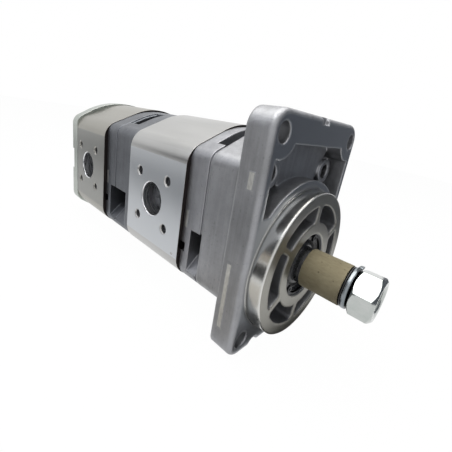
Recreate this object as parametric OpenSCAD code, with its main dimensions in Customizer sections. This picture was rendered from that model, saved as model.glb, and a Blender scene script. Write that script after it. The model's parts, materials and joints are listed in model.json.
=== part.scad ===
// Tandem gear pump: one input shaft drives two gear stages built behind
// each other on a rectangular four bolt flange. Millimetres. X runs along
// the drive shaft and out of its nose, Z is up, and the inlets face -Y.
// The origin is the shaft axis where it meets the mounting face.

/* [Mounting flange] */
// Diameter of the pilot that centres the pump
pilot_d = 80; // [79:0.5:81]
// Height of the pilot above the mounting face
pilot_h = 7.7; // [7:0.1:9]
// Width of the collar that the front recess leaves round the pilot
collar_w = 4.5; // [4:0.1:5]
// Flange bolt spacing across the pump
bolt_spacing_y = 72; // [71:0.5:73]
// Flange bolt spacing up the pump
bolt_spacing_z = 100; // [99:0.5:102]
// Depth of the lower flange bolts below the shaft axis
bolt_drop = 34.5; // [34:0.1:35]
// Diameter of the flange bolt holes
bolt_hole_d = 9; // [8.5:0.1:10]
// Plate left beside the bolt hole centres
plate_side_margin = 7.4; // [6.4:0.2:9]
// Thickness of the flange plate
plate_t = 13.5; // [13:0.5:16]
// Plate left above and below the bolt hole centres
plate_margin = 9.4; // [9:0.1:11]
// Radius of the two upper plate corners
plate_top_r = 9.5; // [8:0.5:11]
// Radius of the two lower plate corners
plate_foot_r = 7; // [6:0.5:8]
// Rounding of the plate's front edge
plate_edge_r = 2.8; // [1.5:0.1:3.5]

/* [Front recess] */
// Width of the cast recess above the pilot
recess_w = 77; // [74:0.5:79]
// Height of the recess roof above the shaft axis
recess_top = 61.5; // [60:0.5:62]
// Height at which the recess starts beside the pilot
recess_foot = 29.5; // [28:0.5:32]
// Depth of the flat recess floor
recess_depth = 9; // [7:0.5:10]
// Depth of the two side pockets that hold the screw bosses
pocket_depth = 12; // [10.5:0.5:13]

/* [Pilot pockets] */
// Number of ribs in the pilot's face
pilot_ribs = 6; // [5:1:8]
// Thickness of a rib
rib_t = 3; // [2.5:0.1:4]
// Radial width of the pilot's outer rim
rim_w = 6.3; // [5:0.1:7]
// Outer diameter of the hub round the shaft seal
hub_d = 48.4; // [46:0.1:50]
// Depth of the pockets behind the pilot's face
pilot_pocket_depth = 12; // [8:0.5:13]
// Radius of the pockets' corners
pilot_pocket_r = 2.2; // [1.5:0.1:2.6]

/* [Castings and housings] */
// Width of the aluminium housings between their port faces
body_w = 86.4; // [86:0.2:90]
// Height of the housings
body_h = 100; // [99:0.5:104]
// Radius of the housings' crown, at the top and at the bottom
body_crown_r = 44; // [38:1:56]
// Slope of the roof between crown and corner, of housings and castings
roof_slope = 26; // [22:1:32]
// Radius of the housings' long corners
body_corner_r = 13; // [9:0.5:15]
// Width of the castings
casting_w = 81.6; // [80:0.2:84]
// Height of the castings
casting_h = 97.5; // [96:0.5:98.5]
// Radius of the castings' crowns
casting_crown_r = 52; // [48:1:58]
// Radius of the castings' long corners
casting_corner_r = 8; // [6:0.5:11]
// Length of the flange casting behind the mounting face
flange_l = 33; // [32:0.5:38]
// Length of the front casting of each stage
front_casting_l = 14.2; // [13.8:0.2:18]
// Length of the end casting of the first stage
end_casting_l = 23.3; // [22.5:0.2:28]
// Length of the first housing
housing_1_l = 55.5; // [54:0.5:62]
// Length of the second housing
housing_2_l = 51; // [50:0.5:58]
// Thickness of the rear cover
rear_cover_t = 9.4; // [8:0.2:14]
// How far the rear cover stands out over the crowns of the housings
cover_rise = 0.7; // [0.5:0.1:1.5]
// How far the rear cover stands out over the port faces
cover_overhang = 0.2; // [0.1:0.1:0.6]
// Radius of the rear cover's crown
cover_crown_r = 60; // [54:1:70]
// Slope of the rear cover's roof
cover_slope = 32; // [28:1:34]
// Radius of the rear cover's long corners
cover_corner_r = 9; // [6:0.5:11]
// Depth of the channel milled across the rear cover
channel_depth = 2.4; // [1:0.1:3]
// Height of that channel
channel_h = 16.6; // [12:0.2:20]

/* [Windows to the couplings] */
// Height of the window roof above the shaft axis
window_top = 9.3; // [7:0.1:11]
// Depth of the window sill below the shaft axis
window_sill = 13; // [11:0.1:13.5]
// Length of the windows in the front castings
window_l = 8; // [7:0.1:8.5]
// Length of the side windows in the end casting
end_window_l = 15; // [14:0.1:15.5]
// Length of the top windows in the first stage's front casting
top_window_l = 6.5; // [5:0.1:8]
// Length of the top windows in the end casting
end_top_window_l = 11; // [8:0.5:14]
// Width of the rib between the two top windows
top_rib_w = 22; // [18:0.5:24]
// Width of each top window
top_window_w = 20.5; // [17:0.5:21.5]
// Radius of the screw bosses seen in the side windows
tie_boss_r = 8.9; // [8:0.1:9.4]
// Diameter of the coupling chamber
chamber_bore_d = 40; // [38:0.5:42]
// Depth of the step that leaves the dark line of a casting joint
joint_groove = 1.1; // [0.5:0.1:1.5]

/* [Ports] */
// Distance of the ports behind the front face of their housing
port_setback = 29; // [26:0.5:31]
// Diameter of the inlet ports
inlet_d = 20; // [16:0.5:21]
// Bolt circle of the inlet ports
inlet_pcd = 40; // [38:0.5:42]
// Diameter of the outlet ports on the far side
outlet_d = 15; // [12:0.5:18]
// Bolt circle of the outlet ports
outlet_pcd = 35; // [34:0.5:38]
// Depth of the wide mouth of every port
port_mouth_depth = 24; // [16:0.5:25]
// Diameter of the passage from an inlet port to the gears
inlet_passage_d = 17; // [14:0.5:19]
// Diameter of the passage from an outlet port to the gears
outlet_passage_d = 12; // [10:0.5:14]
// Tapping diameter of the port screws
port_screw_d = 5; // [4.2:0.1:6]
// Depth of the port screw holes
port_screw_depth = 13; // [10:0.5:14]

/* [Gears] */
// Number of teeth of every gear
gear_teeth = 12; // [11:1:13]
// Gear module
gear_module = 2.65; // [2.6:0.01:2.7]
// Pressure angle of the teeth
pressure_angle = 27; // [26:0.5:28]
// Tooth height above the pitch circle, in modules
addendum = 0.905; // [0.85:0.005:0.92]
// Tooth depth below the pitch circle, in modules
dedendum = 1.09; // [1.05:0.01:1.15]
// How much each tooth is thinner than its space
tooth_thinning = 0.1; // [0.06:0.01:0.2]
// Face width of the first stage's gears
gear_1_w = 20; // [16:0.5:24]
// Face width of the second stage's gears
gear_2_w = 16; // [12:0.5:20]
// Diameter of the gear journals
journal_d = 18; // [17:0.2:19]
// Wall of the bearing bushes
bush_wall = 1.5; // [1:0.1:2]

/* [Drive shaft] */
// Diameter of the shaft under the seal and the ball bearing
shaft_d = 20; // [19:0.2:20.4]
// Where the seal journal ends, in front of the mounting face
shoulder_x = 9.3; // [8.9:0.1:12]
// Large diameter of the one in five taper
taper_d = 18; // [17:0.1:18.4]
// Length of the taper
taper_l = 20; // [18:0.5:21]
// Thread diameter of the shaft end
thread_d = 14; // [12:0.1:14.2]
// Width of the woodruff key
key_w = 4; // [3:0.1:5]
// Diameter of the disc that the woodruff key is cut from
key_d = 13; // [10:0.5:14]
// Height of the woodruff key
key_h = 5; // [4:0.1:5.2]
// Distance of the key from the large end of the taper
key_setback = 8; // [7:0.5:12]

/* [Shaft end hardware] */
// Outer diameter of the cardboard sleeve over the taper
sleeve_d = 21; // [20.8:0.1:22]
// Wall of the sleeve
sleeve_wall = 0.9; // [0.6:0.05:0.95]
// Length of the sleeve
sleeve_l = 20.4; // [20.2:0.1:22]
// Outer diameter of the thin black ring
ring_d = 20.4; // [18:0.1:21]
// Thickness of the thin black ring
ring_t = 1.2; // [0.8:0.1:2]
// Outer diameter of the tab washer
washer_d = 21; // [20:0.1:22]
// Thickness of the tab washer
washer_t = 2.1; // [1.2:0.1:2.6]
// Nut size across its flats
nut_af = 21; // [20:0.1:22]
// Height of the nut
nut_h = 11.8; // [10:0.1:13]
// How far the shaft end lies inside the nut
thread_setback = 2.8; // [1:0.1:4]

/* [Shaft seal and ball bearing] */
// Outer diameter of the shaft seal
seal_d = 35; // [34:0.5:36]
// Width of the shaft seal
seal_w = 7; // [6:0.5:7.5]
// Thickness of the circlip in front of the seal
circlip_t = 1.2; // [1:0.1:1.5]
// Outer diameter of the ball bearing
bearing_d = 47; // [46:0.5:47.4]
// Width of the ball bearing
bearing_w = 14; // [12:0.5:14]
// Diameter of a ball
ball_d = 7.94; // [7:0.01:8]
// Number of balls
ball_count = 8; // [6:1:8]

/* [Through bolts] */
// Spacing of the through bolts across the pump
tie_spacing_y = 56; // [55:0.5:57]
// Spacing of the through bolts up the pump
tie_spacing_z = 62; // [61.5:0.5:63]
// Diameter of the through bolts
tie_d = 10; // [9.4:0.1:10.2]
// Diameter of their socket heads
tie_head_d = 16; // [15:0.5:17]
// Height of their socket heads
tie_head_h = 10; // [8:0.5:12]
// Thickness of the washers under the heads
tie_washer_t = 1.6; // [1:0.1:2.5]

/* [Fits] */
// Radial play of the journals in their bushes and of the seal lips
running_play = 0.03; // [0.02:0.005:0.06]
// Radial play of pieces seated in one another
seat_play = 0.02; // [0.01:0.005:0.05]
// Radial play of the through bolts in their holes
tie_play = 0.25; // [0.1:0.05:0.4]
// Play between the gear faces and the bearing blocks
gear_end_play = 0.05; // [0.03:0.01:0.15]
// Play between the gear tips and the housing
tip_play = 0.05; // [0.03:0.01:0.1]

/* [Hidden] */

$fn = 64;
// Overshoot of every cut past the face it opens
over = 1;
// Depth of the holes that hold a dowel
dowel_depth = 5;
dowel_d = 5;
dowel_end_play = 0.2;
// Place of a dowel beside and below the upper through bolt
dowel_out = 4;
dowel_down = 13;
// How far arcs stand past tangent, so that they cross their neighbours clearly
hair = 0.01;

// Gear pair: both stages share one centre distance
gear_centres = gear_teeth * gear_module;
mid_z = gear_centres / 2;
pitch_r = gear_centres / 2;
base_r = pitch_r * cos(pressure_angle);
tip_r = pitch_r + addendum * gear_module;
root_r = pitch_r - dedendum * gear_module;
gear_bore_r = tip_r + tip_play;
half_tooth = 90 / gear_teeth - tooth_thinning / 2 / pitch_r * 180 / PI;
journal_r = journal_d / 2;
bush_r = journal_r + running_play;
bush_seat_r = bush_r + bush_wall;

// Stations along the shaft, from the mounting face backwards
flange_back = -flange_l;
housing_1_front = flange_back - front_casting_l;
housing_1_back = housing_1_front - housing_1_l;
middle_joint = housing_1_back - end_casting_l;
housing_2_front = middle_joint - front_casting_l;
housing_2_back = housing_2_front - housing_2_l;
rear_face = housing_2_back - rear_cover_t;
port_1_x = housing_1_front - port_setback;
port_2_x = housing_2_front - port_setback;
gear_1_front = port_1_x + gear_1_w / 2;
gear_2_front = port_2_x + gear_2_w / 2;

// Flange plate in the plane of the mounting face
plate_w = bolt_spacing_y + 2 * plate_side_margin;
plate_foot = -bolt_drop - plate_margin;
plate_head = bolt_spacing_z - bolt_drop + plate_margin;
bolt_mid_z = bolt_spacing_z / 2 - bolt_drop;
bolt_land_r = 11;
collar_r = pilot_d / 2 + collar_w;
scallop_r = 4.7;
scallop_inset = 11.8;
relief_w = 1.2;
relief_depth = 0.75;
pilot_edge = 0.4;
pocket_lean_top = 28.5;
pocket_lean_foot = 13.5;

// Seal and bearing bores of the flange, from the front
seal_front = pilot_h - 2.2;
seal_back = seal_front - seal_w;
seal_bore_r = seal_d / 2;
circlip_groove_r = seal_bore_r + 0.9;
lip_r = shaft_d / 2 + running_play;
bearing_front = -8;
bearing_back = bearing_front - bearing_w;
bearing_bore_r = bearing_d / 2;
bearing_mid = (bearing_front + bearing_back) / 2;
ball_circle_r = (bearing_d + shaft_d) / 4;
ball_r = ball_d / 2;
race_play = 0.04;

// Coupling chambers and couplings
chamber_r = chamber_bore_d / 2;
coupling_r = 15;
coupling_end_play = 0.2;
tongue_t = 8;
tongue_l = 4.6;
slot_depth = tongue_l + coupling_end_play;
slot_play = 0.05;
bearing_collar_l = 5.2;
front_coupling_gap = 1.2;
middle_coupling_gap = 3.5;
front_coupling_front = bearing_back - bearing_collar_l;
front_coupling_back = flange_back - window_l + front_coupling_gap;
middle_coupling_front = middle_joint + end_window_l - middle_coupling_gap;
middle_coupling_back = middle_joint - window_l + middle_coupling_gap;

// Shaft nose, from the journal outwards
taper_end = shoulder_x + taper_l;
sleeve_end = shoulder_x + sleeve_l;
ring_end = sleeve_end + ring_t;
washer_end = ring_end + washer_t;
nut_end = washer_end + nut_h;
shaft_end = nut_end - thread_setback;
thread_r = thread_d / 2;
key_x = shoulder_x + key_setback;
// The key's upper corners stay clear of the sleeve
sleeve_in_r = sleeve_d / 2 - sleeve_wall;
key_top = sqrt(sleeve_in_r * sleeve_in_r - key_w * key_w / 4) - 0.15;
centre_drill_r = 3.2;
centre_drill_l = 3;

// Through bolts
tie_r = tie_d / 2;
tie_hole_r = tie_r + tie_play;
tie_tap_r = tie_r * 0.85;
tie_tip = -16;
tie_blind_end = -14;
upper_tie_z = mid_z + tie_spacing_z / 2;
lower_tie_z = mid_z - tie_spacing_z / 2;
screw_boss_r = 7;
screw_boss_front = -7.5;

// Seals of the gear shafts in the coupling chambers
inner_seal_w = 4;
inner_seal_r = 13.5;

// Grooves of the static seals
face_seal_in = gear_bore_r + 2.8;
face_seal_w = 2;
face_seal_depth = 1.9;
block_seal_out = 16.4;
block_seal_w = 2;

CAST = [0.46, 0.46, 0.48];
EXTRUDED = [0.78, 0.78, 0.76];
STEEL = [0.62, 0.63, 0.66];
DARK_STEEL = [0.3, 0.31, 0.33];
ZINC = [0.82, 0.84, 0.87];
RUBBER = [0.08, 0.08, 0.08];
BRONZE = [0.72, 0.55, 0.3];
CARDBOARD = [0.62, 0.55, 0.4];

// Round bar along X between two stations
module rod(x0, x1, r) {
    translate([min(x0, x1), 0, 0]) rotate([0, 90, 0]) cylinder(h = abs(x1 - x0), r = r);
}

// Cone along X, with radius r0 at x0 and r1 at x1, where x0 is below x1
module cone(x0, x1, r0, r1) {
    translate([x0, 0, 0]) rotate([0, 90, 0]) cylinder(h = x1 - x0, r1 = r0, r2 = r1);
}

// Tube along X
module tube(x0, x1, r_out, r_in) {
    difference() {
        rod(x0, x1, r_out);
        rod(x0 - over, x1 + over, r_in);
    }
}

// Extrudes a drawing made in the plane of Y and Z between two stations
module along_x(x0, x1) {
    translate([min(x0, x1), 0, 0]) rotate([90, 0, 90]) linear_extrude(abs(x1 - x0)) children();
}

// Box between two corners given in any order
module block(a, b) {
    translate([min(a[0], b[0]), min(a[1], b[1]), min(a[2], b[2])])
        cube([abs(a[0] - b[0]), abs(a[1] - b[1]), abs(a[2] - b[2])]);
}

// Repeats its children at the shaft axis and at the driven gear's axis
module at_gear_axes() {
    for (z = [0, gear_centres]) translate([0, 0, z]) children();
}

module at_through_bolts() {
    for (y = [-1, 1], z = [-1, 1])
        translate([0, y * tie_spacing_y / 2, mid_z + z * tie_spacing_z / 2]) children();
}

module at_flange_bolts() {
    for (y = [-1, 1], z = [-1, 1])
        translate([0, y * bolt_spacing_y / 2, bolt_mid_z + z * bolt_spacing_z / 2]) children();
}

module at_dowels() {
    for (y = [-1, 1])
        translate([0, y * (tie_spacing_y / 2 + dowel_out), upper_tie_z - dowel_down]) children();
}

// Waste between two directions beyond an arc about the drawing's origin
module arc_waste(r, from, to) {
    reach = 2 * r;
    a = reach * [cos(from), sin(from)];
    b = reach * [cos(to), sin(to)];
    difference() {
        polygon([[0, 0], a, a + b, b]);
        circle(r + hair);
    }
}

// Outline of housings and castings: flat sides, and at the top and the bottom
// a gable whose ridge is rounded to a crown and whose eaves are rounded too
module gabled_outline(w, h, crown_r, slope, corner_r) {
    crown_z = h / 2 - crown_r;
    // Distance of the roof's planes from the middle of the outline
    roof = crown_z * cos(slope) + crown_r;
    eave = (roof - w / 2 * sin(slope)) / cos(slope);
    arc_y = w / 2 - corner_r;
    arc_z = (roof - corner_r - arc_y * sin(slope)) / cos(slope);
    gable = [[w / 2, eave], [0, roof / cos(slope)], [-w / 2, eave]];
    translate([0, mid_z]) difference() {
        polygon(concat(gable, -gable));
        for (b = [0, 1]) mirror([0, b]) {
            translate([0, crown_z]) arc_waste(crown_r, 90 - slope, 90 + slope);
            for (a = [0, 1]) mirror([a, 0]) translate([arc_y, arc_z])
                arc_waste(corner_r, 0, 90 - slope);
        }
    }
}

module body_outline() {
    gabled_outline(body_w, body_h, body_crown_r, roof_slope, body_corner_r);
}

module casting_outline(inset = 0) {
    gabled_outline(casting_w - 2 * inset, casting_h - 2 * inset, casting_crown_r - inset,
                   roof_slope, casting_corner_r - inset);
}

// Racetrack round both gear axes
module racetrack(r) {
    translate([-r, 0]) square([2 * r, gear_centres]);
    circle(r);
    translate([0, gear_centres]) circle(r);
}

module racetrack_ring(r_in, w) {
    difference() {
        racetrack(r_in + w);
        racetrack(r_in);
    }
}

module figure_eight(r) {
    circle(r);
    translate([0, gear_centres]) circle(r);
}

// Groove of the static seal round the gear chamber, on the side 'inward'
module face_seal_groove(face, inward) {
    along_x(face - inward * over, face + inward * face_seal_depth)
        racetrack_ring(face_seal_in, face_seal_w);
}

module face_seal(face, inward) {
    play = 0.04;
    along_x(face, face + inward * (face_seal_depth - play))
        racetrack_ring(face_seal_in + play, face_seal_w - 2 * play);
}

module dowel_holes(face) {
    at_dowels() rod(face - dowel_depth, face + dowel_depth, dowel_d / 2 + seat_play);
}

module through_holes(x0, x1) {
    at_through_bolts() rod(x0 - over, x1 + over, tie_hole_r);
}

// Casting between two stations. A small step at an end leaves the dark
// line of the joint: 'front' and 'back' are the widths of those steps.
module casting_blank(x0, x1, front = 0, back = 0) {
    along_x(x0 + back, x1 - front) casting_outline();
    if (front > 0) along_x(x1 - front - over, x1) casting_outline(joint_groove);
    if (back > 0) along_x(x0, x0 + back + over) casting_outline(joint_groove);
}

// Side window: its floor follows the screw boss and falls away outside it
module side_window_outline() {
    tie_y = tie_spacing_y / 2;
    fall = (tie_boss_r - 0.05) * cos(45);
    inner = chamber_r * 0.6;
    outer = casting_w;
    difference() {
        polygon([[inner, window_top], [outer, window_top],
                 [outer, lower_tie_z + tie_y + 2 * fall - outer],
                 [tie_y + fall, lower_tie_z + fall], [tie_y, -window_sill],
                 [inner, -window_sill]]);
        translate([tie_y, lower_tie_z]) circle(tie_boss_r);
    }
}

// Coupling chamber and side windows cut from an open joint face, and the
// pockets in the crown. 'way' is -1 towards the rear.
module windows(face, way, side_l, top_l) {
    mouth = face - way * over;
    rod(mouth, face + way * side_l, chamber_r);
    for (a = [0, 1]) mirror([0, a, 0]) {
        along_x(mouth, face + way * side_l) side_window_outline();
        // The through bolts lie half free in these
        if (top_l > 0)
            block([mouth, top_rib_w / 2, upper_tie_z],
                  [face + way * top_l, top_rib_w / 2 + top_window_w, casting_h]);
    }
}

// Small pry notches at a housing joint, beside the shaft axis
module pry_notches(face, way) {
    deep = 3;
    long = 2.8;
    foot = -5;
    head = 0.3;
    for (s = [-1, 1])
        block([face - way * over, s * (casting_w / 2 - deep), foot],
              [face + way * long, s * casting_w, head]);
}

// Trimmed gate marks that stand a little out of a casting's side
module gate_mark(x0, x1, z0, z1, side_w) {
    block([x0, -side_w / 2 - 0.2, z0], [x1, -side_w / 2 + 1, z1]);
}

// Plate with a rounded front edge: two slabs, a round bar inside each
// straight edge and a quarter ring inside each corner
module plate_blank() {
    half = plate_w / 2;
    edge = plate_edge_r;
    head = [plate_head, plate_top_r, 1];
    foot = [plate_foot, plate_foot_r, 0];
    along_x(-plate_t, -edge) plate_outline(0);
    along_x(-plate_t, 0) plate_outline(edge);
    for (a = [0, 1]) mirror([0, a, 0]) {
        translate([-edge, half - edge, plate_foot + plate_foot_r])
            cylinder(h = plate_head - plate_top_r - plate_foot - plate_foot_r, r = edge);
        for (c = [head, foot]) {
            inward = 1 - 2 * c[2];
            translate([-edge, half - c[1], c[0] + inward * c[1]]) mirror([0, 0, c[2]])
                rotate([0, 90, 0]) rotate_extrude(angle = 90)
                    translate([c[1] - edge, 0]) circle(edge);
        }
    }
    for (c = [head, foot]) {
        inward = 1 - 2 * c[2];
        translate([-edge, half - c[1], c[0] + inward * edge]) rotate([90, 0, 0])
            cylinder(h = plate_w - 2 * c[1], r = edge);
    }
}

module plate_outline(inset) {
    half = plate_w / 2;
    top_r = plate_top_r - inset;
    foot_r = plate_foot_r - inset;
    head = plate_head - inset;
    foot = plate_foot + inset;
    for (s = [-1, 1]) {
        translate([s * (half - plate_top_r), plate_head - plate_top_r]) circle(top_r);
        translate([s * (half - plate_foot_r), plate_foot + plate_foot_r]) circle(foot_r);
    }
    translate([-half + inset, plate_foot + plate_foot_r])
        square([plate_w - 2 * inset, plate_head - plate_top_r - plate_foot - plate_foot_r]);
    translate([-half + plate_top_r, mid_z]) square([plate_w - 2 * plate_top_r, head - mid_z]);
    translate([-half + plate_foot_r, foot]) square([plate_w - 2 * plate_foot_r, mid_z - foot]);
}

// Cast recess above the pilot, kept clear of the collar and bolt lands
module recess_outline() {
    difference() {
        translate([-recess_w / 2, recess_foot]) square([recess_w, recess_top - recess_foot]);
        circle(collar_r);
        for (s = [-1, 1])
            translate([s * bolt_spacing_y / 2, bolt_spacing_z - bolt_drop]) circle(bolt_land_r);
    }
}

// Corner of the recess outside a line that leans in towards the pilot
module pocket_outline() {
    intersection() {
        recess_outline();
        polygon([[pocket_lean_top, recess_top], [pocket_lean_foot, recess_foot],
                 [recess_w, recess_foot], [recess_w, recess_top]]);
    }
}

module flange_front_cuts() {
    difference() {
        union() {
            along_x(-recess_depth, over) recess_outline();
            for (a = [0, 1]) mirror([0, a, 0]) along_x(-pocket_depth, over) pocket_outline();
        }
        for (s = [-1, 1])
            translate([0, s * tie_spacing_y / 2, upper_tie_z])
                rod(-plate_t, screw_boss_front, screw_boss_r);
    }
    // Ejector notch in the plate's upper edge
    translate([0, 0, plate_head]) block([-2.4, -4.9, -3.5], [over, 2.5, over]);
    // Scallops between the lower bolt lands and the pilot
    for (s = [-1, 1])
        translate([0, s * (bolt_spacing_y / 2 - scallop_inset), plate_foot])
            rod(-plate_t - over, over, scallop_r);
    // Relief at the foot of the pilot
    tube(-relief_depth, over, pilot_d / 2 + relief_w, pilot_d / 2);
}

// Drawing of one pocket of the pilot, between two ribs at 'half' to each side
module pilot_pocket_outline() {
    half = 180 / pilot_ribs;
    out_r = pilot_d / 2 - rim_w;
    in_r = hub_d / 2;
    apex = [rib_t / 2 / sin(half), 0];
    arc_off = rib_t / 2 + pilot_pocket_r;
    out_arc = out_r - pilot_pocket_r;
    in_arc = in_r + pilot_pocket_r;
    out_angle = half - asin(arc_off / out_arc);
    in_angle = half - asin(arc_off / in_arc);
    difference() {
        intersection() {
            difference() {
                circle(out_r);
                circle(in_r);
            }
            polygon([apex, apex + pilot_d * [cos(half), sin(half)],
                     apex + pilot_d * [cos(half), -sin(half)]]);
        }
        for (a = [0, 1]) mirror([0, a]) {
            translate(out_arc * [cos(out_angle), sin(out_angle)])
                arc_waste(pilot_pocket_r, out_angle, half + 90);
            translate(in_arc * [cos(in_angle), sin(in_angle)])
                arc_waste(pilot_pocket_r, half + 90, in_angle + 180);
        }
    }
}

// Pockets in the pilot's face, between its ribs
module pilot_pockets() {
    for (k = [0 : pilot_ribs - 1]) rotate([k * 360 / pilot_ribs, 0, 0])
        along_x(pilot_h - pilot_pocket_depth, pilot_h + over) pilot_pocket_outline();
}

module flange_cover() {
    color(CAST) difference() {
        union() {
            difference() {
                union() {
                    plate_blank();
                    casting_blank(flange_back, -plate_t + over, back = 0.8);
                    gate_mark(-7.8, -4.7, mid_z + 25.1, mid_z + 32.8, plate_w);
                    gate_mark(-10.7, -8, mid_z - 45.9, mid_z - 9.9, plate_w);
                }
                flange_front_cuts();
            }
            rod(-plate_t, pilot_h - pilot_edge, pilot_d / 2);
            cone(pilot_h - pilot_edge, pilot_h, pilot_d / 2, pilot_d / 2 - pilot_edge);
        }
        pilot_pockets();
        at_flange_bolts() rod(-plate_t - over, over, bolt_hole_d / 2);
        // Seal bore with its chamfer and circlip groove
        rod(seal_back, pilot_h + over, seal_bore_r);
        cone(pilot_h - 0.8, pilot_h + 0.2, seal_bore_r, seal_bore_r + 1);
        rod(seal_front, seal_front + circlip_t, circlip_groove_r);
        rod(bearing_front - over, seal_back + over, shaft_d / 2 + 4);
        // Bearing bore with its circlip groove, open to the coupling
        rod(flange_back - over, bearing_front, bearing_bore_r);
        rod(bearing_back - circlip_t, bearing_back, bearing_bore_r + 1.1);
        // Through bolts are screwed in from behind, the upper pair runs out
        at_through_bolts() rod(flange_back - over, tie_blind_end - 1.5, tie_r + seat_play);
        for (s = [-1, 1])
            translate([0, s * tie_spacing_y / 2, upper_tie_z])
                rod(tie_blind_end - 2, over, tie_tap_r);
        dowel_holes(flange_back);
    }
}

module shaft_seal() {
    lip_root = shaft_d / 2 + 2.2;
    color(RUBBER) difference() {
        rod(seal_back, seal_front, seal_bore_r - seat_play);
        rod(seal_back - over, seal_front + over, lip_r);
        // Hollow behind the lip, and the dished front face
        tube(seal_back - over, seal_front - 2.4, seal_bore_r - 2.6, lip_root);
        tube(seal_front - 1.1, seal_front + over, seal_bore_r - 2.2, lip_root + 0.8);
    }
}

// Retaining ring with a wide gap and a drilled lug at each end
module seal_circlip() {
    lug_angles = [70, 230];
    ring_w = 2.1;
    lug_r = 2;
    lug_hole_r = 0.8;
    lug_at = circlip_groove_r - ring_w - 1;
    face_play = 0.02;
    color(DARK_STEEL) along_x(seal_front + face_play, seal_front + circlip_t - face_play) difference() {
        union() {
            difference() {
                circle(circlip_groove_r - 0.1);
                circle(circlip_groove_r - ring_w);
                polygon([[0, 0], for (a = [lug_angles[0] : 20 : lug_angles[1]])
                         2 * circlip_groove_r * [cos(a), sin(a)]]);
            }
            for (a = lug_angles) rotate(a) translate([lug_at, 0]) circle(lug_r);
        }
        for (a = lug_angles) rotate(a) translate([lug_at, 0]) circle(lug_hole_r);
    }
}

// Torus cut by a ball that runs round the shaft
module ball_race() {
    translate([bearing_mid, 0, 0]) rotate([0, 90, 0]) rotate_extrude()
        translate([ball_circle_r, 0]) circle(ball_r + race_play);
}

module bearing_outer_ring() {
    color(STEEL) difference() {
        tube(bearing_back, bearing_front, bearing_bore_r - seat_play,
             ball_circle_r + ball_r - 1.4);
        ball_race();
    }
}

module bearing_inner_ring() {
    color(STEEL) difference() {
        tube(bearing_back, bearing_front, ball_circle_r - ball_r + 1.4,
             shaft_d / 2 + seat_play);
        ball_race();
    }
}

module bearing_cage() {
    cage_w = ball_d + 1.6;
    color(BRONZE) difference() {
        tube(bearing_mid - cage_w / 2, bearing_mid + cage_w / 2,
             ball_circle_r + 1.3, ball_circle_r - 1.3);
        at_balls() sphere(ball_r + 0.12);
    }
}

module at_balls() {
    for (k = [0 : ball_count - 1]) rotate([k * 360 / ball_count, 0, 0])
        translate([bearing_mid, 0, ball_circle_r]) children();
}

module bearing_balls() {
    color(ZINC) at_balls() sphere(ball_r);
}

module bearing_circlip() {
    ring_w = 3;
    color(DARK_STEEL) difference() {
        tube(bearing_back - circlip_t + 0.05, bearing_back - 0.05, bearing_bore_r + 1,
             bearing_bore_r + 1 - ring_w);
        block([bearing_back - 2 * circlip_t, -4, -bearing_d], [bearing_back + over, 4, 0]);
    }
}

module stage_front_casting(face, top_l) {
    back = face - front_casting_l;
    color(CAST) difference() {
        union() {
            casting_blank(back, face, front = 0.8);
            gate_mark(back + 0.8, back + 3.4, mid_z - 6.6, mid_z + 3.4, casting_w);
        }
        windows(face, -1, window_l, top_l);
        inner_seal_bore(face - window_l);
        through_holes(back, face);
        dowel_holes(face);
        dowel_holes(back);
        face_seal_groove(back, 1);
        pry_notches(back, 1);
    }
}

module stage_1_front_casting() {
    stage_front_casting(flange_back, top_window_l);
}

module stage_2_front_casting() {
    stage_front_casting(middle_joint, 0);
}

// Bore of a gear shaft through a chamber wall, with the seat of its seal
module inner_seal_bore(wall_front) {
    rod(wall_front - 2 * end_window_l, wall_front + over, journal_r + 0.2);
    rod(wall_front - inner_seal_w, wall_front + over, inner_seal_r);
}

module stage_1_end_casting() {
    wall_back = middle_joint + end_window_l;
    color(CAST) difference() {
        casting_blank(middle_joint, housing_1_back, back = 0.3);
        windows(middle_joint, 1, end_window_l, end_top_window_l);
        rod(wall_back - over, housing_1_back + over, journal_r + 0.2);
        rod(wall_back - over, wall_back + inner_seal_w, inner_seal_r);
        through_holes(middle_joint, housing_1_back);
        dowel_holes(middle_joint);
        dowel_holes(housing_1_back);
        face_seal_groove(housing_1_back, -1);
        pry_notches(housing_1_back, -1);
    }
}

// Port with its passage to the gears and four tapped holes round it, on the
// side that 's' gives
module port(x, s, d, passage_d, pcd) {
    face_y = s * body_w / 2;
    translate([x, 0, mid_z]) {
        rotate([-s * 90, 0, 0]) cylinder(h = body_w / 2, r = passage_d / 2);
        translate([0, face_y, 0]) rotate([s * 90, 0, 0]) {
            translate([0, 0, -over]) cylinder(h = port_mouth_depth + over, r = d / 2);
            cylinder(h = 0.5, r1 = d / 2 + 0.5, r2 = d / 2);
            for (k = [0 : 3]) rotate([0, 0, 45 + 90 * k]) translate([pcd / 2, 0, 0]) {
                translate([0, 0, -over]) cylinder(h = port_screw_depth + over, r = port_screw_d / 2);
                cylinder(h = 0.7, r1 = port_screw_d / 2 + 0.7, r2 = port_screw_d / 2);
            }
        }
    }
}

module gear_housing(front, back, port_x) {
    color(EXTRUDED) difference() {
        along_x(back, front) body_outline();
        along_x(back - over, front + over) figure_eight(gear_bore_r);
        port(port_x, -1, inlet_d, inlet_passage_d, inlet_pcd);
        port(port_x, 1, outlet_d, outlet_passage_d, outlet_pcd);
        through_holes(back, front);
        dowel_holes(front);
        dowel_holes(back);
    }
}

module stage_1_housing() {
    difference() {
        gear_housing(housing_1_front, housing_1_back, port_1_x);
        // Punch mark below the inlet
        color(EXTRUDED) translate([housing_1_front - 4.8, -body_w / 2, -9.3]) sphere(0.7);
    }
}

module stage_2_housing() {
    gear_housing(housing_2_front, housing_2_back, port_2_x);
}

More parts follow.
